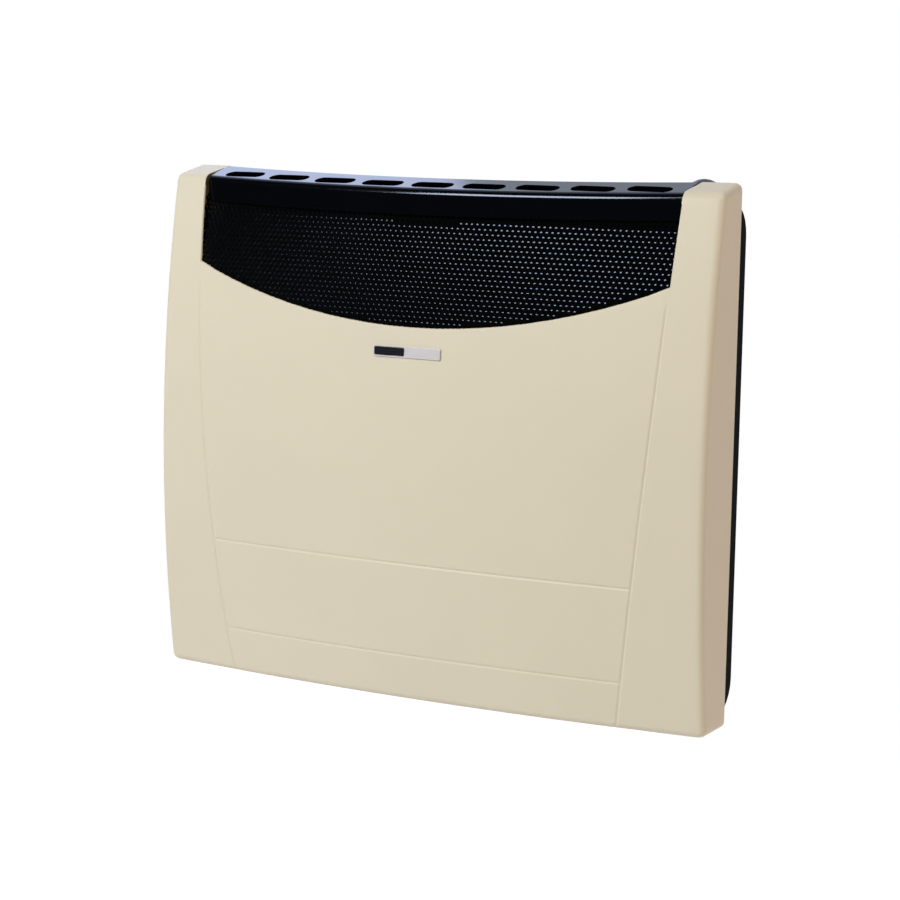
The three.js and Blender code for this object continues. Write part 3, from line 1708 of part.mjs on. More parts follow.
function addChamber() {
  add('chamber_rear_pan', chamberRearPan(), materials.chamberEnamel);
  add('chamber_gasket', chamberGasket(), materials.gasketFibre);
  add('chamber_front_pan', chamberFrontPan(), materials.chamberEnamel);
  add('burner_door_gasket', doorGasket(), materials.gasketFibre);
  add('burner_door', burnerDoor(), materials.chamberEnamel);
  add('sight_glass', sightGlass(), materials.glass);
  add('sight_glass_ring', sightGlassRing(), materials.zincSteel);
  add('air_duct', airDuct(), materials.zincSteel);
  add('exhaust_spigot', exhaustSpigot(), materials.stainless);
  add('air_collar', airCollar(), materials.zincSteel);
}

function addBurner() {
  add('burner_tube', burnerTube(), materials.stainless);
  for (const [name, side] of sides) {
    add(`burner_stand_${name}`, burnerStand(side), materials.stainless);
  }
  add('injector', injector(), materials.brass);
  add('injector_holder', injectorHolder(), materials.brass);
  add('feed_pipe', feedPipe(), materials.aluminium);
  add('pilot_bracket', pilotBracket(), materials.stainless);
  add('pilot_burner', pilotBurner(), materials.brass);
  add('pilot_pipe', pilotPipe(), materials.aluminium);
  add('thermocouple', thermocouple(), materials.copper);
  add('electrode_insulator', electrodeInsulator(), materials.ceramic);
  add('electrode_wire', electrodeWire(), materials.stainless);
  add('ignition_lead', ignitionLead(), materials.redCable);
}

function addControls() {
  add('valve_bracket', valveBracket(), materials.zincSteel);
  add('valve_body', valveBody(), materials.aluminium);
  add('magnet_unit', magnetUnit(), materials.brass);
  add('valve_head', valveHead(), materials.whitePlastic);
  add('valve_pin', valvePin(), materials.stainless);
  add('spindle_coupling', spindleCoupling(), materials.brass);
  add('control_spindle', controlSpindle(), materials.zincSteel);
  add('spindle_bush', spindleBush(), materials.whitePlastic);
  add('control_shelf', controlShelf(), materials.zincSteel);
  add('control_bezel', controlBezel(), materials.blackPlastic);
  add('control_knob', controlKnob(), materials.blackPlastic);
  add('igniter_body', igniterBody(), materials.blackPlastic);
  add('igniter_button', igniterButton(), materials.whitePlastic);
  add('igniter_nut', igniterNut(), materials.zincSteel);
  add('inlet_nipple', inletNipple(), materials.brass);
  add('inlet_union_nut', inletUnionNut(), materials.brass);
  add('thermostat_phial', thermostatPhial(), materials.copper);
  add('phial_clip', phialClip(), materials.zincSteel);
}

addCasing();
addChassis();
addChamber();
addBurner();
addControls();

export default heater;
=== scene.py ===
"""Finishes a wall mounted gas heater: enamelled casing, top grille, mesh outlet, tray, controls and works.

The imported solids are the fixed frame, in metres: +Z is up, +X is to the right of a person facing the
heater and +Y goes into the wall. Heights are counted from the foot of the casing and depths from the
wall towards the room. Each operator models or finishes one group of pieces.
"""

import math
from contextlib import contextmanager

import bmesh
import bpy
from mathutils import Matrix, Vector


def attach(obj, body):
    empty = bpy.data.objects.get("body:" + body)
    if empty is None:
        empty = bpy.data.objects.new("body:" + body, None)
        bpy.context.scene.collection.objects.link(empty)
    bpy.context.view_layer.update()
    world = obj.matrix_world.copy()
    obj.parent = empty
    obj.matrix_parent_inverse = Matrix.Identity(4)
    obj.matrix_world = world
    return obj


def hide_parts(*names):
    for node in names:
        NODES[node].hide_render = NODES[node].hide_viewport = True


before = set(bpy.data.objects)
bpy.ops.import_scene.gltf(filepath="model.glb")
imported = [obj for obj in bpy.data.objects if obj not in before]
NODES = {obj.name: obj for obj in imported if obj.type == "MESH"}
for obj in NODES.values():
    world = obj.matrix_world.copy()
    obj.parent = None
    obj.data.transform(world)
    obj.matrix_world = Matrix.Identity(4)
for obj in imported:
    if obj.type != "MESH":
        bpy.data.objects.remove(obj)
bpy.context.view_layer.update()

bl_info = {
    "name": "Gas Heater Finish",
    "version": (1, 0, 0),
    "blender": (4, 5, 0),
    "location": "3D View > Sidebar > Heater",
    "description": "Models and finishes the pieces of a wall mounted gas heater on its packed frame",
    "category": "Object",
}

MM = 0.001
HANG_HEIGHT = 500 * MM

# Form of the casing, as its solid has it
CASING_HALF = 350 * MM
CASING_HEIGHT = 597 * MM
CASING_REAR = 40 * MM
BELLY_DEPTH = 77.3 * MM
BELLY_HEIGHT = 270 * MM
BELLY_RADIUS = 1650 * MM
BOW = 21.4 * MM
BOW_RADIUS = (CASING_HALF**2 + BOW**2) / (2 * BOW)
COLUMN_TOP = 587.2 * MM
FOOT_FLANGE = 33 * MM
REAR_FLANGE = 18 * MM
GROOVE_FOOT_X = 249.5 * MM
GROOVE_TOP_X = 304.5 * MM
GROOVE_LEAN_SHARE = 0.545
GROOVE_HEIGHTS = (53.8 * MM, 161.2 * MM)
SMILE_LOWEST = 428.5 * MM
SMILE_RADIUS = 798 * MM

# Folds that only the pressing has: the rear flange of its top and the rolled edge of its outlet
TOP_FLANGE = 22 * MM
EDGE_RETURN = 2.5 * MM
RETURN_TOP = 574 * MM

# Lines cut into the flat front plate beside its grooves and outlet, so that it bows smoothly
LOWER_ROWS = [row * MM for row in (28, 82, 108, 134, 190, 218, 246, 274, 302, 330, 358, 386)]
UNDER_OUTLET = 414 * MM
COLUMN_ROWS = [row * MM for row in (512, 537, 562)]
SHORT_ROWS = ((440 * MM, 196 * MM), (464 * MM, 252 * MM))
LEAN_ROWS = [row * MM for row in (108, 190, 274, 358)]
INNER_COLUMNS = [column * MM for column in range(28, 225, 28)]
UPPER_COLUMNS = [252 * MM, 276 * MM]
UPPER_COLUMNS_FOOT = 386 * MM
SIDE_COLUMNS = [322 * MM, 336 * MM]

# Form of the top grille, with ends and a rear flange that reach a little past its solid
GRILLE_HALF = 302.2 * MM
GRILLE_REAR_DEPTH = 41.1 * MM
GRILLE_FRONT_DEPTH = 81.7 * MM
GRILLE_REAR_HEIGHT = 598.4 * MM
GRILLE_FRONT_HEIGHT = 587 * MM
GRILLE_BOW = 25 * MM
GRILLE_SAG = 6.6 * MM
GRILLE_FLANGE = 21 * MM
GRILLE_COLUMNS = 27
GRILLE_EDGE = 0.5 * MM
LIP_HEIGHT = 558.5 * MM
LIP_CORNER = 5 * MM
SLOT_COUNT = 9
SLOT_PITCH = 64.7 * MM
SLOT_LENGTH = 52 * MM
SLOT_WIDTH = 19 * MM
SLOT_PLACE_SHARE = 0.58
PUNCH_LENGTH = 60 * MM

# Form of the outlet mesh: it reaches up behind the lip by the border and behind the columns by the lap,
# and no knuckles show in the band under the lip
SCREEN_FOOT_SETBACK = 2 * MM
SCREEN_TOP_SETBACK = 12.5 * MM
SCREEN_BORDER = 20 * MM
SCREEN_BAND = 8 * MM
SCREEN_LAP = 5 * MM
MESH_SHEET = 0.6 * MM
CELL_INSIDE_SHARE = 0.45
KNUCKLE_FORM = (1, 0.045, 0.7)

# Cages of the lattices: least corner, greatest corner and points each way
CASING_CAGE = (-420 * MM, -20 * MM, -580 * MM), (420 * MM, 20 * MM, 170 * MM), (15, 2, 13)
GRILLE_CAGE = (-420 * MM, -140 * MM, 0), (420 * MM, 0, 150 * MM), (15, 2, 2)
SCREEN_CAGE = (-360 * MM, -20 * MM, -90 * MM), (360 * MM, 20 * MM, 90 * MM), (19, 2, 7)

# Clearance of the mesh, reach of a selection, reach of the casing's face, and distances of merging
GAP = 0.3 * MM
NEAR = 0.1 * MM
FACE_REACH = 2 * MM
WELD = 0.01 * MM
SOLID_WELD = 0.005 * MM
MESH_WELD = 0.05 * MM
# Keeps the pressed face just inside the box of the solids
FACE_INSET = 0.01 * MM

# Angles in degrees: faces that count as one, corners that are broken and folds that are rounded
FLAT_ANGLE = 1
CORNER_ANGLE = 50
FOLD_ANGLE = 60


def linear(code):
    """Turns an sRGB colour such as "#DCD7C3" into linear red, green and blue."""
    levels = [int(code[i : i + 2], 16) / 255 for i in (1, 3, 5)]
    return tuple(v / 12.92 if v <= 0.04045 else ((v + 0.055) / 1.055) ** 2.4 for v in levels)


def length_property(name, description, size):
    return bpy.props.FloatProperty(name=name, description=description, default=size, unit="LENGTH")


def colour_property(name, description, code):
    return bpy.props.FloatVectorProperty(
        name=name, description=description, subtype="COLOR", size=3, min=0, max=1, default=linear(code)
    )


class HeaterSizes(bpy.types.PropertyGroup):
    edge_radius: length_property("Casing Edge Radius", "Radius of the casing's outer edges", 8 * MM)
    sheet: length_property("Casing Sheet", "Thickness of the casing's steel sheet", 1.2 * MM)
    outlet_radius: length_property("Outlet Edge Radius", "Radius of the edge round the air outlet", 2 * MM)
    groove_width: length_property("Groove Width", "Width of the pressed grooves", 4.4 * MM)
    groove_depth: length_property("Groove Depth", "Depth of the pressed grooves", 1.1 * MM)
    grille_sheet: length_property("Grille Sheet", "Thickness of the grille's steel strip", 1.5 * MM)
    grille_radius: length_property("Grille Edge Radius", "Radius between the grille's top and lip", 6.5 * MM)
    mesh_width: length_property("Mesh Width", "Width of one cell of the mesh", 6.8 * MM)
    mesh_height: length_property("Mesh Height", "Height of one cell of the mesh", 11 * MM)
    mesh_strand: length_property("Mesh Strand", "Width of the strands of the mesh", 3.8 * MM)
    mesh_relief: length_property("Mesh Relief", "Depth of the slopes of the strands", 1.2 * MM)
    mesh_knuckle: length_property("Mesh Knuckle", "Width of the knuckles between the strands", 3 * MM)
    broken_edge: length_property("Broken Edge", "Bevel on the edges of the sheet metal works", 0.35 * MM)
    moulded_edge: length_property("Moulded Edge", "Bevel on the edges of the moulded controls", 0.5 * MM)
    floor_drop: length_property("Floor Drop", "Height of the casing's foot above the floor", 900 * MM)


class HeaterColours(bpy.types.PropertyGroup):
    cream: colour_property("Casing", "Stove enamel of the casing", "#DCD4BE")
    grille: colour_property("Grille", "Gloss enamel of the top grille", "#030406")
    mesh: colour_property("Mesh", "Enamel of the outlet mesh", "#030405")
    tray: colour_property("Tray", "Powder coat of the tray", "#111214")
    badge: colour_property("Badge", "Anodised aluminium of the badge", "#E2DEE0")
    inlay: colour_property("Badge Inlay", "Lacquer of the badge's dark field", "#1D1F22")
    chamber: colour_property("Chamber", "Heat resistant paint of the chamber", "#2A2B2D")
    plastic: colour_property("Controls", "Moulded plastic of the knob and bezel", "#131315")
    nylon: colour_property("Nylon", "Moulded nylon of the button and the bush", "#DAD8D0")
    zinc: colour_property("Galvanised Steel", "Zinc on the brackets and ducts", "#B4B7B8")
    shield: colour_property("Heat Shield", "Aluminised steel dulled by heat", "#3A3B3E")
    stainless: colour_property("Stainless Steel", "Steel of the burner and the spigot", "#A8A39A")
    aluminium: colour_property("Aluminium", "Cast valve body and drawn pipes", "#C3C5C6")
    brass: colour_property("Brass", "Turned gas fittings", "#B5964F")
    copper: colour_property("Copper", "Drawn copper of the phial and thermocouple", "#B87754")
    fibre: colour_property("Gaskets", "Ceramic fibre of the gaskets", "#CDC9BD")
    glass: colour_property("Sight Glass", "Heat resistant glass", "#EEF4F1")
    porcelain: colour_property("Porcelain", "Insulator of the electrode", "#F0ECE2")
    lead: colour_property("Ignition Lead", "Silicone rubber of the ignition lead", "#8D3A2C")
    floor: colour_property("Floor", "Plain floor under the heater", "#F2F2F0")


# Form


def arc_drop(distance, radius):
    """How far an arc falls away from its crown at a distance from it."""
    return radius - math.sqrt(radius**2 - distance**2)


def face_depth(x, height):
    """Depth of the casing's face, which bows across and bellies down its height."""
    bow = BOW - arc_drop(x, BOW_RADIUS)
    belly = BELLY_DEPTH - arc_drop(height - BELLY_HEIGHT, BELLY_RADIUS)
    return CASING_REAR + belly + bow


def groove_x(height):
    share = height / CASING_HEIGHT
    lean = 1 + GROOVE_LEAN_SHARE * (1 - share)
    return GROOVE_FOOT_X + (GROOVE_TOP_X - GROOVE_FOOT_X) * share * lean


def smile_height(x):
    """Height of the outlet's curved foot."""
    return SMILE_LOWEST + arc_drop(x, SMILE_RADIUS)


def smile_end(rounds=24):
    """Height at which the outlet's curved foot meets its sides, found in rounds."""
    height = SMILE_LOWEST
    for _ in range(rounds):
        height = smile_height(groove_x(height))
    return height


SMILE_TOP = smile_end()


def grille_bow_share(x):
    return 1 - (x / CASING_HALF) ** 2


def lip_foot(x):
    return LIP_HEIGHT - GRILLE_SAG * grille_bow_share(x)


def height_of(point):
    return point.z + HANG_HEIGHT


def screen_depth(x, height):
    """Depth of the mesh: close behind the casing's face at its foot, well behind it under the lip."""
    low = smile_height(min(abs(x), CASING_HALF))
    share = (height - low) / (lip_foot(x) - low)
    return face_depth(x, height) - SCREEN_FOOT_SETBACK - (SCREEN_TOP_SETBACK - SCREEN_FOOT_SETBACK) * share


# Modelling steps


def start(primitive, name, scale=(1, 1, 1), **settings):
    """Adds a primitive on its own, named, with its place and size in its mesh."""
    bpy.ops.object.select_all(action="DESELECT")
    primitive(**settings)
    piece = bpy.context.object
    piece.name = name
    piece.data.name = name
    piece.scale = scale
    bpy.ops.object.transform_apply(location=True, rotation=True, scale=True)
    return piece


def activate(piece):
    bpy.ops.object.select_all(action="DESELECT")
    piece.select_set(True)
    bpy.context.view_layer.objects.active = piece


@contextmanager
def editing(piece):
    """Edit mode on one piece, with all of it selected at first."""
    activate(piece)
    bpy.ops.object.mode_set(mode="EDIT")
    bpy.ops.mesh.select_all(action="SELECT")
    yield
    bpy.ops.object.mode_set(mode="OBJECT")


def middle(part):
    """Middle of an edge or a face."""
    return sum((vert.co for vert in part.verts), Vector()) / len(part.verts)


def pick(piece, kind, test=None):
    """Selects, in edit mode, the vertices, edges or faces that pass a test."""
    bpy.ops.mesh.select_mode(type=kind)
    bpy.ops.mesh.select_all(action="DESELECT")
    shape = bmesh.from_edit_mesh(piece.data)
    parts = {"VERT": shape.verts, "EDGE": shape.edges, "FACE": shape.faces}[kind]
    for part in [part for part in parts if test is None or test(part)]:
        part.select_set(True)
    bmesh.update_edit_mesh(piece.data)


def weld(distance=WELD):
    """Merges all vertices that lie closer together than a distance."""
    bpy.ops.mesh.select_all(action="SELECT")
    bpy.ops.mesh.remove_doubles(threshold=distance)


def extrude(offset):
    bpy.ops.mesh.extrude_region_move()
    bpy.ops.transform.translate(value=offset)


def extrude_scaled(scale, centre=(0, 0, 0)):
    bpy.ops.mesh.extrude_region_move()
    bpy.ops.transform.resize(value=scale, center_override=centre)


def cut_rows(piece, heights, test=None):
    for height in heights:
        pick(piece, "FACE", test)
        bpy.ops.mesh.bisect(plane_co=(0, 0, height - HANG_HEIGHT), plane_no=(0, 0, 1))


def cut_columns(piece, places, test=None):
    for x in places:
        pick(piece, "FACE", test)
        bpy.ops.mesh.bisect(plane_co=(x, 0, 0), plane_no=(1, 0, 0))


def cut_line(piece, near_end, far_end, test):
    """Cuts the chosen faces of a front plate along a line from one (x, height) to another."""
    (near_x, near_height), (far_x, far_height) = near_end, far_end
    pick(piece, "FACE", test)
    bpy.ops.mesh.bisect(
        plane_co=(near_x, 0, near_height - HANG_HEIGHT),
        plane_no=(far_height - near_height, 0, near_x - far_x),
    )


def modify(piece, kind, **settings):
    """Adds a modifier and applies it."""
    activate(piece)
    modifier = piece.modifiers.new(kind.title(), kind)
    for name, value in settings.items():
        setattr(modifier, name, value)
    bpy.ops.object.modifier_apply(modifier=modifier.name)


def break_edges(piece, width, **settings):
    """Bevels the corners of a piece a little."""
    limit = math.radians(CORNER_ANGLE)
    modify(piece, "BEVEL", width=width, segments=2, limit_method="ANGLE", angle_limit=limit, **settings)


def warp(piece, cage, shift):
    """Shapes a piece with a lattice laid round it, whose points are moved by a smooth field."""
    low, high, counts = cage
    bpy.ops.object.select_all(action="DESELECT")
    bpy.ops.object.add(type="LATTICE", location=(Vector(low) + Vector(high)) / 2)
    box = bpy.context.object
    box.scale = Vector(high) - Vector(low)
    bpy.context.view_layer.update()
    lattice = box.data
    lattice.points_u, lattice.points_v, lattice.points_w = counts
    for axis in "uvw":
        setattr(lattice, f"interpolation_type_{axis}", "KEY_CATMULL_ROM")
    to_box = box.matrix_world.inverted()
    for point in lattice.points:
        place = box.matrix_world @ point.co
        point.co_deform = to_box @ (place + shift(place))
    modify(piece, "LATTICE", object=box)
    bpy.data.objects.remove(box)


def shade(piece, angle):
    """Smooth shading with sharp edges above an angle in degrees."""
    activate(piece)
    bpy.ops.object.shade_smooth_by_angle(angle=math.radians(angle))


def smooth(piece, angle):
    """Smooth shading that keeps large faces flat beside small fillets."""
    shade(piece, angle)
    modify(piece, "WEIGHTED_NORMAL", keep_sharp=True, weight=50)


def finish_piece(piece, body, slot, material, *replaced):
    """Gives a finished piece its material and body, and hides the solids that it stands for."""
    piece.data.materials.clear()
    piece.data.materials.append(material)
    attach(piece, body)
    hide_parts(*replaced)


# Materials

# Most values of a noise texture lie between these two
NOISE_LOW, NOISE_HIGH = 0.3, 0.7

# The finish of each material slot, and of three pieces that differ from their slot. Colours are those of
# HeaterColours, a mottle is (size, share of the colour), a grain is (size, height), a stretch draws the
# grain out into lines and rough is (least, most). Names in capitals are inputs of the shader.
FINISHES = {
    # Stove enamel on pressed steel: a soft sheen, with a faint orange peel that breaks up reflections
    "cream_enamel": dict(
        name="cream_stove_enamel", colour="cream", mottle=(140 * MM, 0.012),
        grain=(2.4 * MM, 0.006 * MM), rough=(0.42, 0.47), Specular_IOR_Level=0.3,
    ),
    # Black vitreous enamel: a deep wet gloss that mirrors the room with a slight ripple
    "black_enamel": dict(
        name="black_gloss_enamel", colour="grille", mottle=(60 * MM, 0.1),
        grain=(5 * MM, 0.006 * MM), rough=(0.1, 0.14), Specular_Tint=(*linear("#D8E4FF"), 1),
    ),
    # Matt black powder coat with a fine pebble grain, which keeps its edges dark against the light
    "black_steel": dict(
        name="black_powder_coat", colour="tray", mottle=(50 * MM, 0.12),
        grain=(1.2 * MM, 0.03 * MM), rough=(0.5, 0.6), Specular_IOR_Level=0.01,
    ),
    # Black enamel sprayed thin on expanded steel: dry, dark strands that give nothing back
    "mesh_strands": dict(
        name="black_mesh_enamel", colour="mesh", mottle=(30 * MM, 0.1),
        grain=(2 * MM, 0.004 * MM), rough=(0.4, 0.5), Specular_IOR_Level=0.05,
    ),
    # Black enamel pooled on the knuckles: a hard gloss that throws small blue-white points
    "mesh_knuckles": dict(
        name="pooled_black_enamel", colour="mesh", mottle=(30 * MM, 0.1), grain=(2 * MM, 0.002 * MM),
        rough=(0.1, 0.16), Specular_IOR_Level=0.45, Specular_Tint=(*linear("#C8DCFF"), 1),
    ),
    # Aluminium brushed along its length under a milky anodised skin: pale, with long fine lines
    "silver_badge": dict(
        name="brushed_anodised_aluminium", colour="badge", mottle=(18 * MM, 0.04),
        grain=(0.35 * MM, 0.01 * MM), stretch=(0.02, 1, 1), rough=(0.28, 0.4), Metallic=0.3,
    ),
    # Dark lacquer in the badge's field: smooth and glossy
    "dark_badge": dict(
        name="dark_badge_lacquer", colour="inlay", mottle=(10 * MM, 0.05),
        grain=(1 * MM, 0.003 * MM), rough=(0.15, 0.2),
    ),
    # Heat resistant paint: dry and matt, with the blotches of firing
    "chamber_enamel": dict(
        name="heat_resistant_paint", colour="chamber", mottle=(35 * MM, 0.25),
        grain=(0.8 * MM, 0.03 * MM), rough=(0.55, 0.7),
    ),
    # Injection moulded black plastic with a light spark eroded grain
    "black_plastic": dict(
        name="black_moulded_plastic", colour="plastic", mottle=(20 * MM, 0.08),
        grain=(0.6 * MM, 0.012 * MM), rough=(0.3, 0.4),
    ),
    # Moulded white nylon: slightly waxy, with light passing just under its skin
    "white_plastic": dict(
        name="white_moulded_nylon", colour="nylon", mottle=(15 * MM, 0.03), grain=(0.8 * MM, 0.01 * MM),
        rough=(0.35, 0.45), Subsurface_Weight=0.1, Subsurface_Scale=0.5 * MM,
    ),
    # Galvanised steel sheet: a cold grey with the flat patches of zinc crystals, about 9 mm across
    "zinc_steel": dict(
        name="galvanised_steel", colour="zinc", mottle=(9 * MM, 0.14), crystals=True,
        grain=(0.7 * MM, 0.006 * MM), rough=(0.3, 0.5), Metallic=1,
    ),
    # Aluminised steel above the hot chamber: dulled to a dark grey with soft clouds of oxide
    "dulled_steel": dict(
        name="heat_dulled_steel", colour="shield", mottle=(45 * MM, 0.3),
        grain=(0.8 * MM, 0.01 * MM), rough=(0.5, 0.65), Metallic=1,
    ),
    # Rolled stainless steel: warm grey with fine rolling lines along its length
    "stainless": dict(
        name="rolled_stainless_steel", colour="stainless", mottle=(25 * MM, 0.08),
        grain=(0.5 * MM, 0.008 * MM), stretch=(0.06, 1, 1), rough=(0.22, 0.38), Metallic=1,
    ),
    # Die cast and drawn aluminium: bright grey, softly sanded by the mould
    "aluminium": dict(
        name="die_cast_aluminium", colour="aluminium", mottle=(14 * MM, 0.06),
        grain=(0.7 * MM, 0.02 * MM), rough=(0.38, 0.5), Metallic=1,
    ),
    # Turned brass: yellow, with fine lathe marks round its axis
    "brass": dict(
        name="turned_brass", colour="brass", mottle=(12 * MM, 0.1),
        grain=(0.4 * MM, 0.008 * MM), stretch=(0.15, 0.15, 1), rough=(0.2, 0.34), Metallic=1,
    ),
    # Drawn copper with the darker patches of handling
    "copper": dict(
        name="drawn_copper", colour="copper", mottle=(16 * MM, 0.2),
        grain=(0.6 * MM, 0.006 * MM), rough=(0.28, 0.42), Metallic=1,
    ),
    # Pressed ceramic fibre: a dull off-white felt
    "gasket_fibre": dict(
        name="pressed_ceramic_fibre", colour="fibre", mottle=(6 * MM, 0.08),
        grain=(0.9 * MM, 0.15 * MM), rough=(0.9, 1),
    ),
    # Clear heat resistant glass, very slightly wavy
    "clear_glass": dict(
        name="heat_resistant_glass", colour="glass", mottle=(20 * MM, 0.01), grain=(8 * MM, 0.01 * MM),
        rough=(0.02, 0.04), Transmission_Weight=1, IOR=1.47,
    ),
    # Glazed electrical porcelain: cream white and glassy
    "ceramic": dict(
        name="glazed_porcelain", colour="porcelain", mottle=(8 * MM, 0.03),
        grain=(2 * MM, 0.01 * MM), rough=(0.12, 0.18),
    ),
    # Silicone rubber of the high voltage lead: soft sheen, slightly dusty
    "red_cable": dict(
        name="silicone_rubber", colour="lead", mottle=(12 * MM, 0.08),
        grain=(0.7 * MM, 0.012 * MM), rough=(0.45, 0.6),
    ),
}


def add_node(tree, kind, inputs=None, **settings):
    """Adds a shader node, sets its properties, and fills or links its inputs."""
    node = tree.nodes.new(kind)
    for name, value in settings.items():
        setattr(node, name, value)
    for name, value in (inputs or {}).items():
        if isinstance(value, bpy.types.NodeSocket):
            tree.links.new(value, node.inputs[name])
        else:
            node.inputs[name].default_value = value
    return node


def bare_tree(block):
    """The emptied node tree of a material or a world."""
    block.use_nodes = True
    block.node_tree.nodes.clear()
    return block.node_tree


def surface(name, colour, mottle, grain, rough, stretch=(1, 1, 1), crystals=False, **shader_inputs):
    """A solid surface with its colour mottled, its gloss uneven and a fine grain in relief.

    The mottle is a soft cloud, or flat crystals with straight borders.
    """
    material = bpy.data.materials.new(name)
    tree = bare_tree(material)
    base = tuple(getattr(bpy.context.scene.heater_colours, colour))
    place = add_node(tree, "ShaderNodeTexCoord").outputs["Object"]
    stretched = add_node(tree, "ShaderNodeMapping", {"Vector": place, "Scale": stretch}).outputs["Vector"]
    if crystals:
        cells = add_node(tree, "ShaderNodeTexVoronoi", {"Vector": place, "Scale": 1 / mottle[0]})
        cloud = add_node(tree, "ShaderNodeSeparateXYZ", {0: cells.outputs["Color"]}).outputs["X"]
    else:
        soft = {"Vector": place, "Scale": 1 / mottle[0], "Detail": 3, "Roughness": 0.55}
        cloud = add_node(tree, "ShaderNodeTexNoise", soft).outputs["Fac"]
    specks = {"Vector": stretched, "Scale": 1 / grain[0], "Detail": 2, "Roughness": 0.5}
    fine = add_node(tree, "ShaderNodeTexNoise", specks).outputs["Fac"]
    span = {"From Min": NOISE_LOW, "From Max": NOISE_HIGH}
    lighter, darker = 1 + mottle[1], 1 - mottle[1]
    shades = {"Value": cloud, **span, "To Min": darker, "To Max": lighter}
    shade_share = add_node(tree, "ShaderNodeMapRange", shades).outputs["Result"]
    tinting = {0: base, "Scale": shade_share}
    tinted = add_node(tree, "ShaderNodeVectorMath", tinting, operation="SCALE").outputs["Vector"]
    glosses = {"Value": fine, **span, "To Min": rough[0], "To Max": rough[1]}
    gloss = add_node(tree, "ShaderNodeMapRange", glosses).outputs["Result"]
    bumps = {"Height": fine, "Distance": grain[1], "Strength": 1}
    relief = add_node(tree, "ShaderNodeBump", bumps).outputs["Normal"]
    inputs = {name.replace("_", " "): value for name, value in shader_inputs.items()}
    inputs = {"Base Color": tinted, "Roughness": gloss, "Normal": relief, **inputs}
    shader = add_node(tree, "ShaderNodeBsdfPrincipled", inputs)
    add_node(tree, "ShaderNodeOutputMaterial", {"Surface": shader.outputs["BSDF"]})
    return material


def finish_of(slot):
    """The material of a slot, made the first time that it is needed."""
    finish = FINISHES[slot]
    return bpy.data.materials.get(finish["name"]) or surface(**finish)


def slot_of(material):
    """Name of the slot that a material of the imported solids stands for."""
    return material.name.split(".")[0]


# Pieces that keep the form of their solids

# The pieces that move with a body other than the chassis
MOVING = {
    "valve_pin": "valve_pin",
    "spindle_coupling": "control",
    "control_spindle": "control",
    "control_knob": "control",
    "igniter_button": "button",
}


def copy_of(node, name):
    """A merged copy of a node's solid, to be worked on."""
    source = NODES[node]
    piece = source.copy()
    piece.data = source.data.copy()
    piece.name = name
    piece.data.name = name
    piece.parent = None
    for key in list(piece.keys()):
        del piece[key]
    bpy.context.scene.collection.objects.link(piece)
    with editing(piece):
        weld(SOLID_WELD)
        bpy.ops.mesh.customdata_custom_splitnormals_clear()
    return piece


def soften(node, name, width, angle):
    """A copy of a solid with its flat faces joined, its edges broken by a small bevel and smooth shading."""
    piece = copy_of(node, name)
    with editing(piece):
        bpy.ops.mesh.dissolve_limited(angle_limit=math.radians(FLAT_ANGLE))
    if width:
        break_edges(piece, width, use_clamp_overlap=True)
    smooth(piece, angle)
    return piece


def soften_all(width, angle=35, finish=None, **names):
    """Softens nodes, each with the finish of its slot or one given; names maps nodes to finished names."""
    for node, name in names.items():
        slot = slot_of(NODES[node].data.materials[0])
        piece = soften(node, name, width, angle)
        finish_piece(piece, MOVING.get(node, "chassis"), slot, finish_of(finish or slot), node)


# Front casing


def groove_lines(vert, width):
    """The groove lines that a vertex of the flat plate lies on, as names that end in -1, 0 or 1."""
    x, height = abs(vert.co.x), height_of(vert.co)
    side_x = groove_x(height)
    names = set()
    for step in (-1, 0, 1):
        if abs(x - side_x - step * width / 2) < width / 4 and height < SMILE_TOP - NEAR:
            names.add(("side", vert.co.x > 0, step))
        for row in GROOVE_HEIGHTS:
            if abs(height - row - step * width / 2) < width / 4 and x < side_x - width / 4:
                names.add(("across", row, step))
    return names


def cut_casing_plate(plate, width):
    """Cuts rows, columns, the groove lines and the outlet's edge into the right half of the plate."""
    groove_rows = [row + step * width / 2 for row in GROOVE_HEIGHTS for step in (-1, 0, 1)]
    cut_rows(plate, [*groove_rows, *LOWER_ROWS, UNDER_OUTLET, *COLUMN_ROWS, SMILE_TOP, RETURN_TOP])
    cut_columns(plate, INNER_COLUMNS + SIDE_COLUMNS)
    cut_columns(plate, UPPER_COLUMNS, lambda face: height_of(middle(face)) > UPPER_COLUMNS_FOOT)
    bands = [0, groove_rows[0], *LEAN_ROWS, UNDER_OUTLET, SMILE_TOP, COLUMN_ROWS[1], COLUMN_TOP]
    for low, high in zip(bands, bands[1:]):
        for step in (-1, 0, 1):
            cut_line(
                plate,
                (groove_x(low) + step * width / 2, low),
                (groove_x(high) + step * width / 2, high),
                lambda face: low < height_of(middle(face)) < high,
            )
    arc = [0, *INNER_COLUMNS, *UPPER_COLUMNS, groove_x(SMILE_TOP)]
    for near, far in zip(arc, arc[1:]):
        cut_line(
            plate,
            (near, smile_height(near)),
            (far, smile_height(far)),
            lambda face: near < middle(face).x < far and UNDER_OUTLET < height_of(middle(face)) < SMILE_TOP,
        )
    for row, least_x in SHORT_ROWS:
        cut_rows(plate, [row], lambda face: middle(face).x > least_x)

    def in_outlet(face):
        place = middle(face)
        return place.x < groove_x(height_of(place)) and height_of(place) > smile_height(place.x)

    pick(plate, "FACE", in_outlet)
    bpy.ops.mesh.delete(type="FACE")


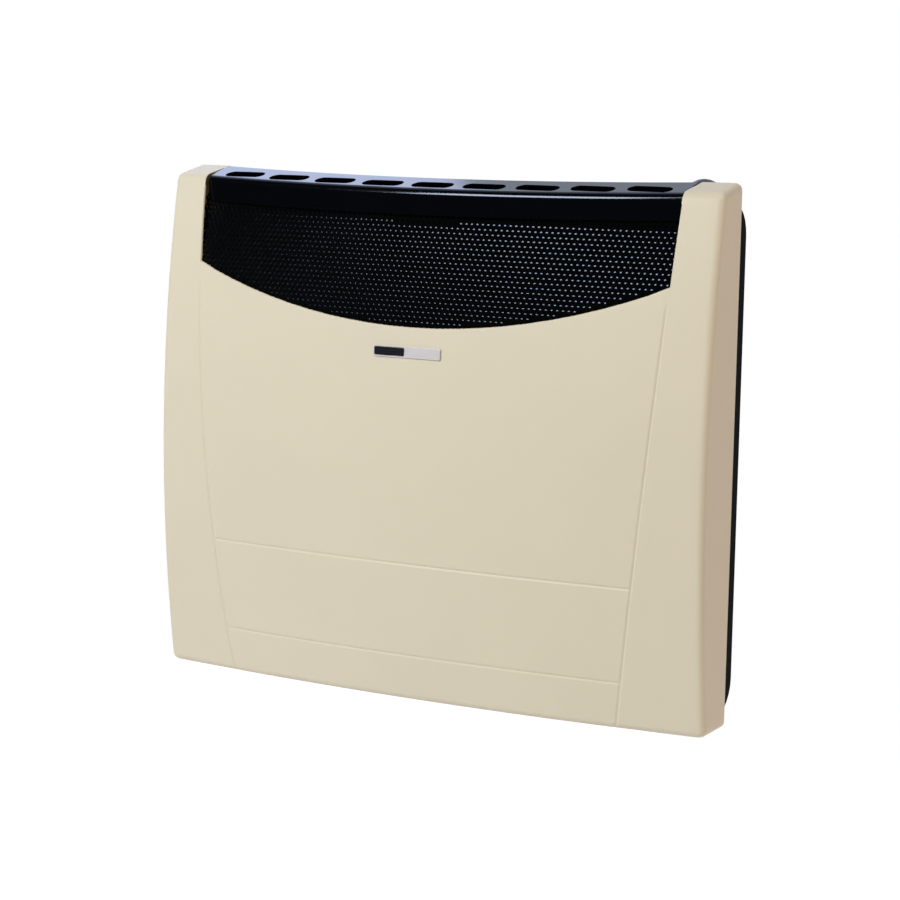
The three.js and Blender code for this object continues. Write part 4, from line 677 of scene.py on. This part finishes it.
def press_grooves(plate, width, depth):
    """Presses the grooves' middle lines in and rounds all three lines of each groove."""

    def along_groove(edge):
        first, second = (groove_lines(vert, width) for vert in edge.verts)
        return bool(first & second)

    shape = bmesh.from_edit_mesh(plate.data)
    shape.edges.ensure_lookup_table()
    shape.edges.index_update()
    chosen = {edge.index for edge in shape.edges if along_groove(edge)}
    pick(plate, "VERT", lambda vert: any(name[-1] == 0 for name in groove_lines(vert, width)))
    bpy.ops.transform.translate(value=(0, depth, 0))
    pick(plate, "EDGE", lambda edge: edge.index in chosen)
    bpy.ops.mesh.bevel(offset=width / 10, segments=2, affect="EDGES")


def at_side(vert):
    return abs(vert.co.x) > CASING_HALF - NEAR


def at_rear(vert):
    return abs(vert.co.y + CASING_REAR) < NEAR


def at_top(vert):
    return height_of(vert.co) > COLUMN_TOP - NEAR


def at_foot(vert):
    return height_of(vert.co) < NEAR


def open_edge(*tests):
    """A test for open edges whose two ends pass all the tests."""
    return lambda edge: edge.is_boundary and all(test(vert) for test in tests for vert in edge.verts)


def by_outlet(edge):
    place = middle(edge)
    return abs(place.x) < groove_x(height_of(place)) + NEAR and height_of(place) > SMILE_LOWEST - NEAR


def on_face(edge):
    place = middle(edge)
    return abs(place.y + face_depth(place.x, height_of(place))) < FACE_REACH


def fold_walls(plate):
    """Folds the side walls and the sloping top back to the rear plane."""
    pick(plate, "EDGE", lambda edge: open_edge(at_side)(edge) or open_edge(at_top)(edge))
    extrude_scaled((1, 0, 1), (0, -CASING_REAR, 0))
    pick(plate, "VERT", lambda vert: at_rear(vert) and at_top(vert))
    bpy.ops.transform.translate(value=(0, 0, CASING_HEIGHT - COLUMN_TOP))


def fold_flanges(plate):
    """Folds the flanges of the top, the foot and the sides in, with mitres at the upper corners."""
    inner_x = CASING_HALF - REAR_FLANGE

    def at_flange_foot(vert):
        return at_rear(vert) and abs(height_of(vert.co) - CASING_HEIGHT + TOP_FLANGE) < NEAR

    def at_inner_corner(vert):
        return at_rear(vert) and at_top(vert) and abs(abs(vert.co.x) - inner_x) < NEAR

    pick(plate, "EDGE", open_edge(at_top, at_rear))
    extrude((0, 0, -TOP_FLANGE))
    for side in (-1, 1):
        pick(plate, "VERT", lambda vert: at_flange_foot(vert) and side * vert.co.x > inner_x)
        bpy.ops.transform.resize(value=(0, 1, 1), center_override=(side * inner_x, 0, 0))
    pick(plate, "EDGE", open_edge(at_foot))
    reach = face_depth(0, 0) - CASING_REAR
    extrude_scaled((1 - FOOT_FLANGE / CASING_HALF, 1 - FOOT_FLANGE / reach, 1), (0, -CASING_REAR, 0))
    pick(plate, "EDGE", open_edge(at_side, at_rear))
    extrude_scaled((inner_x / CASING_HALF, 1, 1))
    pick(plate, "VERT", at_inner_corner)
    bpy.ops.transform.translate(value=(0, 0, -TOP_FLANGE))
    weld()


def fold_outlet_edge(plate):
    """Folds the short return back round the air outlet."""

    def round_outlet(edge):
        below_top = height_of(middle(edge)) < RETURN_TOP
        return edge.is_boundary and by_outlet(edge) and on_face(edge) and below_top

    pick(plate, "EDGE", round_outlet)
    extrude((0, EDGE_RETURN, 0))


def round_casing(plate, sizes):
    """Rounds the edge round the outlet and the casing's outer edges."""

    def sharp(edge):
        return len(edge.link_faces) == 2 and edge.calc_face_angle() > math.radians(FOLD_ANGLE)

    def outer(edge):
        return sharp(edge) and not by_outlet(edge) and middle(edge).y < -CASING_REAR - NEAR

    pick(plate, "EDGE", lambda edge: sharp(edge) and by_outlet(edge) and on_face(edge))
    bpy.ops.mesh.bevel(offset=sizes.outlet_radius, segments=3, affect="EDGES")
    pick(plate, "EDGE", outer)
    bpy.ops.mesh.bevel(offset=sizes.edge_radius, segments=5, affect="EDGES")


def model_casing(sizes):
    plate = start(
        bpy.ops.mesh.primitive_plane_add,
        "casing_pressing",
        scale=(CASING_HALF, COLUMN_TOP, 1),
        size=1,
        location=(CASING_HALF / 2, 0, COLUMN_TOP / 2 - HANG_HEIGHT),
        rotation=(math.pi / 2, 0, 0),
    )
    with editing(plate):
        cut_casing_plate(plate, sizes.groove_width)
    modify(plate, "MIRROR", use_clip=True, merge_threshold=NEAR)
    with editing(plate):
        press_grooves(plate, sizes.groove_width, sizes.groove_depth)

    def bow_and_belly(place):
        return Vector((0, FACE_INSET - face_depth(place.x, height_of(place)), 0))

    warp(plate, CASING_CAGE, bow_and_belly)
    with editing(plate):
        fold_walls(plate)
        fold_flanges(plate)
        fold_outlet_edge(plate)
        round_casing(plate, sizes)
        weld()
        bpy.ops.mesh.normals_make_consistent(inside=False)
    modify(plate, "SOLIDIFY", thickness=sizes.sheet, offset=-1)
    smooth(plate, angle=35)
    return plate


class HEATER_OT_casing(bpy.types.Operator):
    """Presses the cream casing: bowed and bellied front, grooves, outlet, walls and flanges"""

    bl_idname = "heater.casing"
    bl_label = "Front Casing"

    def execute(self, context):
        casing = model_casing(context.scene.heater_sizes)
        finish_piece(casing, "chassis", "cream_enamel", finish_of("cream_enamel"), "front_casing")
        return {"FINISHED"}


# Top grille


def model_slot_punch():
    """Capsule shaped punches for the slots of the grille, all in one object."""
    punches = []
    for i in range(SLOT_COUNT):
        x = (i - (SLOT_COUNT - 1) / 2) * SLOT_PITCH
        rear = GRILLE_REAR_DEPTH + GRILLE_BOW * grille_bow_share(x)
        depth = rear + (GRILLE_FRONT_DEPTH - GRILLE_REAR_DEPTH) * SLOT_PLACE_SHARE
        punch = start(
            bpy.ops.mesh.primitive_cylinder_add,
            f"slot_punch_{i}",
            vertices=24,
            radius=SLOT_WIDTH / 2,
            depth=PUNCH_LENGTH,
            location=(x, -depth, GRILLE_FRONT_HEIGHT - HANG_HEIGHT),
        )
        with editing(punch):
            for side in (-1, 1):
                pick(punch, "VERT", lambda vert: (vert.co.x - x) * side > NEAR)
                bpy.ops.transform.translate(value=(side * (SLOT_LENGTH - SLOT_WIDTH) / 2, 0, 0))
        punches.append(punch)
    activate(punches[0])
    for punch in punches:
        punch.select_set(True)
    bpy.ops.object.join()
    return punches[0]


def model_grille(sizes):
    width = GRILLE_FRONT_DEPTH - GRILLE_REAR_DEPTH
    strip = start(
        bpy.ops.mesh.primitive_plane_add,
        "grille_pressing",
        scale=(2 * GRILLE_HALF, width, 1),
        size=1,
        location=(0, -GRILLE_REAR_DEPTH - width / 2, GRILLE_REAR_HEIGHT - HANG_HEIGHT),
    )
    front = -GRILLE_FRONT_DEPTH + NEAR
    rear = -GRILLE_REAR_DEPTH - NEAR
    column_pitch = 2 * GRILLE_HALF / (GRILLE_COLUMNS + 1)
    with editing(strip):
        pick(strip, "VERT", lambda vert: vert.co.y < front)
        bpy.ops.transform.translate(value=(0, 0, GRILLE_FRONT_HEIGHT - GRILLE_REAR_HEIGHT))
        pick(strip, "EDGE", lambda edge: all(vert.co.y < front for vert in edge.verts))
        extrude((0, 0, LIP_HEIGHT - GRILLE_FRONT_HEIGHT))
        pick(strip, "VERT", lambda vert: height_of(vert.co) < LIP_HEIGHT + NEAR)
        bpy.ops.mesh.bevel(offset=LIP_CORNER, segments=4, affect="VERTICES")
        pick(strip, "EDGE", lambda edge: all(vert.co.y > rear for vert in edge.verts))
        extrude((0, 0, -GRILLE_FLANGE))
        pick(strip, "EDGE", lambda edge: len(edge.link_faces) == 2 and middle(edge).y < front)
        bpy.ops.mesh.bevel(offset=sizes.grille_radius, segments=6, affect="EDGES")
        cut_columns(strip, [-GRILLE_HALF + (i + 1) * column_pitch for i in range(GRILLE_COLUMNS)])

    def bow_and_sag(place):
        return grille_bow_share(place.x) * Vector((0, -GRILLE_BOW, -GRILLE_SAG))

    warp(strip, GRILLE_CAGE, bow_and_sag)
    with editing(strip):
        bpy.ops.mesh.normals_make_consistent(inside=False)
    modify(strip, "SOLIDIFY", thickness=sizes.grille_sheet, offset=-1)
    punch = model_slot_punch()
    modify(strip, "BOOLEAN", object=punch, operation="DIFFERENCE", solver="EXACT")
    bpy.data.objects.remove(punch)
    break_edges(strip, GRILLE_EDGE)
    smooth(strip, angle=40)
    return strip


class HEATER_OT_grille(bpy.types.Operator):
    """Presses the black top grille: bowed strip, rolled front edge, lip and nine slots"""

    bl_idname = "heater.grille"
    bl_label = "Top Grille"

    def execute(self, context):
        grille = model_grille(context.scene.heater_sizes)
        finish_piece(grille, "chassis", "black_enamel", finish_of("black_enamel"), "top_grille")
        return {"FINISHED"}


# Outlet mesh


def mesh_counts(sizes):
    """How many cells lie side by side and one above another."""
    columns = 2 * math.ceil(GRILLE_HALF / sizes.mesh_width) + 1
    rows = math.ceil((LIP_HEIGHT - SMILE_LOWEST) / sizes.mesh_height) + 3
    return columns, rows


def first_cell(sizes):
    """Middle of the lowest cell at the left."""
    columns = mesh_counts(sizes)[0]
    foot = SMILE_LOWEST - 2 * sizes.mesh_height
    return Vector((-(columns - 1) / 2 * sizes.mesh_width, 0, foot - HANG_HEIGHT))


def tile(cell, sizes, outside):
    """Repeats a cell in two staggered sets, trims them to the outlet and bows them."""
    width, height = sizes.mesh_width, sizes.mesh_height
    columns, rows = mesh_counts(sizes)
    with editing(cell):
        bpy.ops.mesh.duplicate_move(TRANSFORM_OT_translate={"value": (width / 2, 0, height / 2)})
    for count, offset in ((columns, (width, 0, 0)), (rows, (0, 0, height))):
        modify(
            cell,
            "ARRAY",
            count=count,
            use_relative_offset=False,
            use_constant_offset=True,
            constant_offset_displace=offset,
        )
    with editing(cell):
        weld(MESH_WELD)
        pick(cell, "FACE", outside)
        bpy.ops.mesh.delete(type="FACE")
    warp(cell, SCREEN_CAGE, lambda place: Vector((0, -screen_depth(place.x, height_of(place)), 0)))


def off_outlet(place, side_border, foot_border):
    """Whether a place of the flat mesh lies outside the outlet, less a border at its sides and foot."""
    level = height_of(place)
    off_side = abs(place.x) > groove_x(level) - side_border
    off_foot = level < smile_height(abs(place.x)) + foot_border
    return off_side or off_foot or level > lip_foot(place.x) + SCREEN_BORDER


def model_strands(sizes):
    """The strands of the expanded metal: diamonds that share roof shaped edges."""
    width, height = sizes.mesh_width, sizes.mesh_height
    centre = first_cell(sizes)
    strands = start(
        bpy.ops.mesh.primitive_circle_add,
        "outlet_mesh",
        scale=(1, height / width, 1),
        vertices=4,
        radius=width / 2,
        fill_type="NGON",
        location=centre,
        rotation=(math.pi / 2, 0, 0),
    )

    def inner(vert):
        across = abs(vert.co.x - centre.x) / width
        along = abs(vert.co.z - centre.z) / height
        return across + along < CELL_INSIDE_SHARE

    with editing(strands):
        bpy.ops.mesh.select_mode(type="FACE")
        bpy.ops.mesh.select_all(action="SELECT")
        bpy.ops.mesh.inset(thickness=sizes.mesh_strand / 2)
        bpy.ops.mesh.delete(type="FACE")
        pick(strands, "VERT", inner)
        bpy.ops.transform.translate(value=(0, sizes.mesh_relief, 0))
    tile(strands, sizes, lambda face: off_outlet(middle(face), -SCREEN_LAP, GAP + NEAR))
    with editing(strands):
        bpy.ops.mesh.normals_make_consistent(inside=False)
    modify(strands, "SOLIDIFY", thickness=MESH_SHEET, offset=-1)
    shade(strands, angle=30)
    return strands


def model_knuckles(sizes):
    """The pressed knuckles where the strands meet, each a small, nearly flat bead."""
    width, height = sizes.mesh_width, sizes.mesh_height
    centre = first_cell(sizes)
    knuckles = start(
        bpy.ops.mesh.primitive_uv_sphere_add,
        "mesh_knuckles",
        scale=KNUCKLE_FORM,
        segments=8,
        ring_count=4,
        radius=sizes.mesh_knuckle / 2,
        location=centre,
    )

    def outside(face):
        """Takes each bead whole, by the crossing that it sits on."""
        offset = middle(face) - centre
        column, row = round(2 * offset.x / width), round(2 * offset.z / height)
        crossing = centre + Vector((column * width / 2, 0, row * height / 2))
        under_lip = height_of(crossing) > lip_foot(crossing.x) - SCREEN_BAND
        return under_lip or off_outlet(crossing, GAP, GAP + sizes.mesh_knuckle)

    tile(knuckles, sizes, outside)
    shade(knuckles, angle=60)
    return knuckles


class HEATER_OT_screen(bpy.types.Operator):
    """Makes the fine black mesh of expanded steel behind the air outlet"""

    bl_idname = "heater.screen"
    bl_label = "Outlet Mesh"

    def execute(self, context):
        sizes = context.scene.heater_sizes
        strands = model_strands(sizes)
        knuckles = model_knuckles(sizes)
        finish_piece(strands, "chassis", "black_steel", finish_of("mesh_strands"), "outlet_screen")
        finish_piece(knuckles, "chassis", "black_steel", finish_of("mesh_knuckles"), "outlet_screen")
        return {"FINISHED"}


# Badge, tray and heat shield


class HEATER_OT_badge(bpy.types.Operator):
    """Makes the small bare badge: a brushed plate with a dark field"""

    bl_idname = "heater.badge"
    bl_label = "Badge"

    def execute(self, context):
        sizes = context.scene.heater_sizes
        soften_all(sizes.broken_edge, badge_plate="brushed_badge", badge_inlay="badge_field")
        return {"FINISHED"}


class HEATER_OT_tray(bpy.types.Operator):
    """Finishes the black tray with its keyholes, and the heat shield above the chamber"""

    bl_idname = "heater.tray"
    bl_label = "Rear Tray"

    def execute(self, context):
        sizes = context.scene.heater_sizes
        soften_all(sizes.broken_edge, rear_tray="wall_tray")
        soften_all(sizes.broken_edge, finish="dulled_steel", rear_heat_shield="folded_heat_shield")
        return {"FINISHED"}


# Controls


class HEATER_OT_controls(bpy.types.Operator):
    """Finishes the knob, its bezel and spindle, and the igniter with its button"""

    bl_idname = "heater.controls"
    bl_label = "Controls"

    def execute(self, context):
        sizes = context.scene.heater_sizes
        soften_all(
            sizes.moulded_edge,
            control_knob="fluted_knob",
            control_bezel="knob_bezel",
            igniter_body="piezo_body",
            igniter_button="piezo_button",
            spindle_bush="nylon_bush",
        )
        soften_all(
            sizes.broken_edge,
            igniter_nut="piezo_nut",
            control_spindle="turned_spindle",
            spindle_coupling="pinned_coupling",
            control_shelf="folded_shelf",
        )
        return {"FINISHED"}


# Sealed chamber and flue


class HEATER_OT_chamber(bpy.types.Operator):
    """Finishes the two pressed pans, the burner door with its glass, and their gaskets"""

    bl_idname = "heater.chamber"
    bl_label = "Sealed Chamber"

    def execute(self, context):
        sizes = context.scene.heater_sizes
        soften_all(
            sizes.broken_edge,
            chamber_rear_pan="rear_pan",
            chamber_front_pan="ribbed_front_pan",
            burner_door="pressed_burner_door",
            sight_glass_ring="glass_ring",
            sight_glass="sight_glass_disc",
        )
        soften_all(sizes.moulded_edge, chamber_gasket="chamber_seal", burner_door_gasket="door_seal")
        return {"FINISHED"}


class HEATER_OT_flue(bpy.types.Operator):
    """Finishes the air duct, the exhaust spigot and the air collar"""

    bl_idname = "heater.flue"
    bl_label = "Flue"

    def execute(self, context):
        soften_all(
            context.scene.heater_sizes.broken_edge,
            air_duct="folded_air_duct",
            exhaust_spigot="flanged_spigot",
            air_collar="flanged_collar",
        )
        return {"FINISHED"}


# Burner, pilot and gas way; pipes and other slender pieces keep their edges


class HEATER_OT_burner(bpy.types.Operator):
    """Finishes the burner tube on its stands, the injector and the pilot group"""

    bl_idname = "heater.burner"
    bl_label = "Burner"

    def execute(self, context):
        soften_all(
            context.scene.heater_sizes.broken_edge,
            burner_tube="slotted_burner",
            burner_stand_left="left_stand",
            burner_stand_right="right_stand",
            injector="turned_injector",
            injector_holder="turned_injector_holder",
            pilot_bracket="folded_pilot_bracket",
            pilot_burner="turned_pilot",
        )
        soften_all(0, electrode_insulator="glazed_insulator", electrode_wire="spark_wire")
        return {"FINISHED"}


class HEATER_OT_pipes(bpy.types.Operator):
    """Finishes the feed pipe, the pilot pipe, the thermocouple, the phial and the ignition lead"""

    bl_idname = "heater.pipes"
    bl_label = "Pipes and Leads"

    def execute(self, context):
        soften_all(
            0,
            angle=50,
            feed_pipe="bent_feed_pipe",
            pilot_pipe="bent_pilot_pipe",
            thermocouple="thermocouple_lead",
            ignition_lead="high_voltage_lead",
            thermostat_phial="phial_and_capillary",
        )
        return {"FINISHED"}


class HEATER_OT_valve(bpy.types.Operator):
    """Finishes the gas valve with its head, magnet unit, pin, bracket and inlet"""

    bl_idname = "heater.valve"
    bl_label = "Gas Valve"

    def execute(self, context):
        sizes = context.scene.heater_sizes
        soften_all(sizes.moulded_edge, valve_body="cast_valve_body", valve_head="moulded_valve_head")
        soften_all(
            sizes.broken_edge,
            magnet_unit="turned_magnet_unit",
            valve_pin="ground_valve_pin",
            valve_bracket="folded_valve_bracket",
            inlet_nipple="turned_nipple",
            inlet_union_nut="union_nut",
        )
        return {"FINISHED"}


# Fixings

# The fixings that come in pairs, left and right
PAIRED_FIXINGS = (
    "casing_clip",
    "casing_tab",
    "casing_screw",
    "grille_bracket",
    "chamber_bracket_lower",
    "chamber_bracket_upper",
)


class HEATER_OT_fixings(bpy.types.Operator):
    """Finishes the brackets, clips, tabs and screws that hold the casing, the grille and the chamber"""

    bl_idname = "heater.fixings"
    bl_label = "Fixings"

    def execute(self, context):
        sides = ("left", "right")
        pairs = {f"{kind}_{side}": f"{side}_{kind}" for kind in PAIRED_FIXINGS for side in sides}
        soften_all(context.scene.heater_sizes.broken_edge, **pairs, phial_clip="sprung_phial_clip")
        return {"FINISHED"}


class HEATER_OT_solids(bpy.types.Operator):
    """Gives every solid of the frame the finish of its slot"""

    bl_idname = "heater.solids"
    bl_label = "Solids"

    def execute(self, context):
        for node in NODES.values():
            for i, held in enumerate(node.data.materials):
                node.data.materials[i] = finish_of(slot_of(held))
        return {"FINISHED"}


# Stage

CAMERA_PLACE = (1.3162, -2.4495, 0.1841)
CAMERA_AZIMUTH = 28.63
CAMERA_DIP = 8.37
CAMERA_ROLL = 0.985
CAMERA_LENS = 96.35
# Each lamp's name, place, size, power and colour
LAMPS = (
    ("key", (-1.3, -3.2, 1.9), 1.4, 101, "#FFFFFF"),
    ("fill", (3.5, -0.2, 0.8), 1.6, 26, "#FFCC98"),
    ("top", (-2.3, 2.1, 2.0), 1.6, 15.5, "#CAD6FF"),
)
FLOOR_SIZE = 6
FLOOR_GLOW = 0.72
# What the room gives: its soft light on dull surfaces, and in mirror images its dim front, its white wall,
# the directions towards the wall between which one turns into the other, and the blue that they take on
ROOM_LIGHT = 0.35
MIRRORED_FRONT = 0.03
MIRRORED_WALL = 0.95
WALL_START, WALL_FULL = -0.15, 0.25
MIRROR_TINT = (-0.22, -0.14, 0)


def add_camera():
    bpy.ops.object.camera_add(location=CAMERA_PLACE)
    camera = bpy.context.object
    camera.name = "viewpoint"
    camera.data.lens = CAMERA_LENS
    turn = (
        Matrix.Rotation(math.radians(CAMERA_AZIMUTH), 4, "Z")
        @ Matrix.Rotation(math.radians(90 - CAMERA_DIP), 4, "X")
        @ Matrix.Rotation(math.radians(CAMERA_ROLL), 4, "Z")
    )
    camera.rotation_euler = turn.to_euler()
    bpy.context.scene.camera = camera


def add_lamps():
    for name, place, size, power, colour in LAMPS:
        bpy.ops.object.light_add(type="AREA", location=place)
        lamp = bpy.context.object
        lamp.name = f"{name}_lamp"
        lamp.data.size = size
        lamp.data.energy = power
        lamp.data.color = linear(colour)
        lamp.rotation_euler = (-Vector(place)).to_track_quat("-Z", "Y").to_euler()


def add_floor(sizes, colours):
    """A pale floor that the camera sees as white with the heater's faint shadow, and clear from below."""
    bpy.ops.mesh.primitive_plane_add(size=FLOOR_SIZE, location=(0, 0, -HANG_HEIGHT - sizes.floor_drop))
    floor = bpy.context.object
    floor.name = "pale_floor"
    material = bpy.data.materials.new("pale_studio_floor")
    tree = bare_tree(material)
    rays = add_node(tree, "ShaderNodeLightPath").outputs
    watched = {0: rays["Is Camera Ray"], 1: rays["Is Glossy Ray"]}
    seen = add_node(tree, "ShaderNodeMath", watched, operation="MAXIMUM").outputs[0]
    strength = add_node(tree, "ShaderNodeMath", {0: seen, 1: FLOOR_GLOW}, operation="MULTIPLY").outputs[0]
    paint = add_node(tree, "ShaderNodeBsdfDiffuse", {"Color": (*colours.floor, 1)})
    white = add_node(tree, "ShaderNodeEmission", {"Color": (1, 1, 1, 1), "Strength": strength})
    both = add_node(tree, "ShaderNodeAddShader", {0: paint.outputs[0], 1: white.outputs[0]})
    below = add_node(tree, "ShaderNodeNewGeometry").outputs["Backfacing"]
    clear = add_node(tree, "ShaderNodeBsdfTransparent")
    sided = add_node(tree, "ShaderNodeMixShader", {0: below, 1: both.outputs[0], 2: clear.outputs[0]})
    add_node(tree, "ShaderNodeOutputMaterial", {"Surface": sided.outputs[0]})
    floor.data.materials.append(material)


def add_backdrop():
    """White where the camera looks, and behind the heater in its reflections; the room in front is dim."""
    world = bpy.data.worlds.new("studio")
    bpy.context.scene.world = world
    tree = bare_tree(world)
    rays = add_node(tree, "ShaderNodeLightPath").outputs
    glossy = rays["Is Glossy Ray"]
    direct = {0: rays["Is Camera Ray"], 1: rays["Is Transmission Ray"]}
    straight = add_node(tree, "ShaderNodeMath", direct, operation="MAXIMUM").outputs[0]
    direction = add_node(tree, "ShaderNodeTexCoord").outputs["Generated"]
    towards_wall = add_node(tree, "ShaderNodeSeparateXYZ", {0: direction}).outputs["Y"]
    span = {"From Min": WALL_START, "From Max": WALL_FULL, "To Min": MIRRORED_FRONT, "To Max": MIRRORED_WALL}
    room = add_node(tree, "ShaderNodeMapRange", {"Value": towards_wall, **span}).outputs["Result"]
    mirrored = add_node(tree, "ShaderNodeMath", {0: glossy, 1: room}, operation="MULTIPLY").outputs[0]
    seen = add_node(tree, "ShaderNodeMath", {0: straight, 1: mirrored}, operation="MAXIMUM").outputs[0]
    dull = add_node(tree, "ShaderNodeMath", {0: 1.0, 1: glossy}, operation="SUBTRACT").outputs[0]
    soft_light = add_node(tree, "ShaderNodeMath", {0: dull, 1: ROOM_LIGHT}, operation="MULTIPLY").outputs[0]
    strength = add_node(tree, "ShaderNodeMath", {0: seen, 1: soft_light}, operation="MAXIMUM").outputs[0]
    tinting = {0: glossy, 1: MIRROR_TINT, 2: (1, 1, 1)}
    tint = add_node(tree, "ShaderNodeVectorMath", tinting, operation="MULTIPLY_ADD").outputs["Vector"]
    sky = add_node(tree, "ShaderNodeBackground", {"Color": tint, "Strength": strength})
    add_node(tree, "ShaderNodeOutputWorld", {"Surface": sky.outputs[0]})


class HEATER_OT_stage(bpy.types.Operator):
    """Sets the camera, the lamps, the floor and the white background"""

    bl_idname = "heater.stage"
    bl_label = "Stage"

    def execute(self, context):
        add_camera()
        add_lamps()
        add_floor(context.scene.heater_sizes, context.scene.heater_colours)
        add_backdrop()
        context.scene.view_settings.view_transform = "Standard"
        return {"FINISHED"}


class HEATER_PT_panel(bpy.types.Panel):
    """Lists the steps that finish the heater"""

    bl_idname = "HEATER_PT_panel"
    bl_label = "Gas Heater"
    bl_space_type = "VIEW_3D"
    bl_region_type = "UI"
    bl_category = "Heater"

    def draw(self, context):
        for step in STEPS:
            self.layout.operator(step.bl_idname)


STEPS = (
    HEATER_OT_stage,
    HEATER_OT_casing,
    HEATER_OT_grille,
    HEATER_OT_screen,
    HEATER_OT_badge,
    HEATER_OT_tray,
    HEATER_OT_controls,
    HEATER_OT_chamber,
    HEATER_OT_flue,
    HEATER_OT_burner,
    HEATER_OT_pipes,
    HEATER_OT_valve,
    HEATER_OT_fixings,
    HEATER_OT_solids,
)
CLASSES = (HeaterSizes, HeaterColours, *STEPS, HEATER_PT_panel)


def register():
    for kind in CLASSES:
        bpy.utils.register_class(kind)
    bpy.types.Scene.heater_sizes = bpy.props.PointerProperty(type=HeaterSizes)
    bpy.types.Scene.heater_colours = bpy.props.PointerProperty(type=HeaterColours)


def unregister():
    del bpy.types.Scene.heater_colours
    del bpy.types.Scene.heater_sizes
    for kind in reversed(CLASSES):
        bpy.utils.unregister_class(kind)


def main():
    register()
    bpy.ops.heater.stage()
    bpy.ops.heater.casing()
    bpy.ops.heater.grille()
    bpy.ops.heater.screen()
    bpy.ops.heater.badge()
    bpy.ops.heater.tray()
    bpy.ops.heater.controls()
    bpy.ops.heater.chamber()
    bpy.ops.heater.flue()
    bpy.ops.heater.burner()
    bpy.ops.heater.pipes()
    bpy.ops.heater.valve()
    bpy.ops.heater.fixings()
    bpy.ops.heater.solids()


if __name__ == "__main__":
    main()
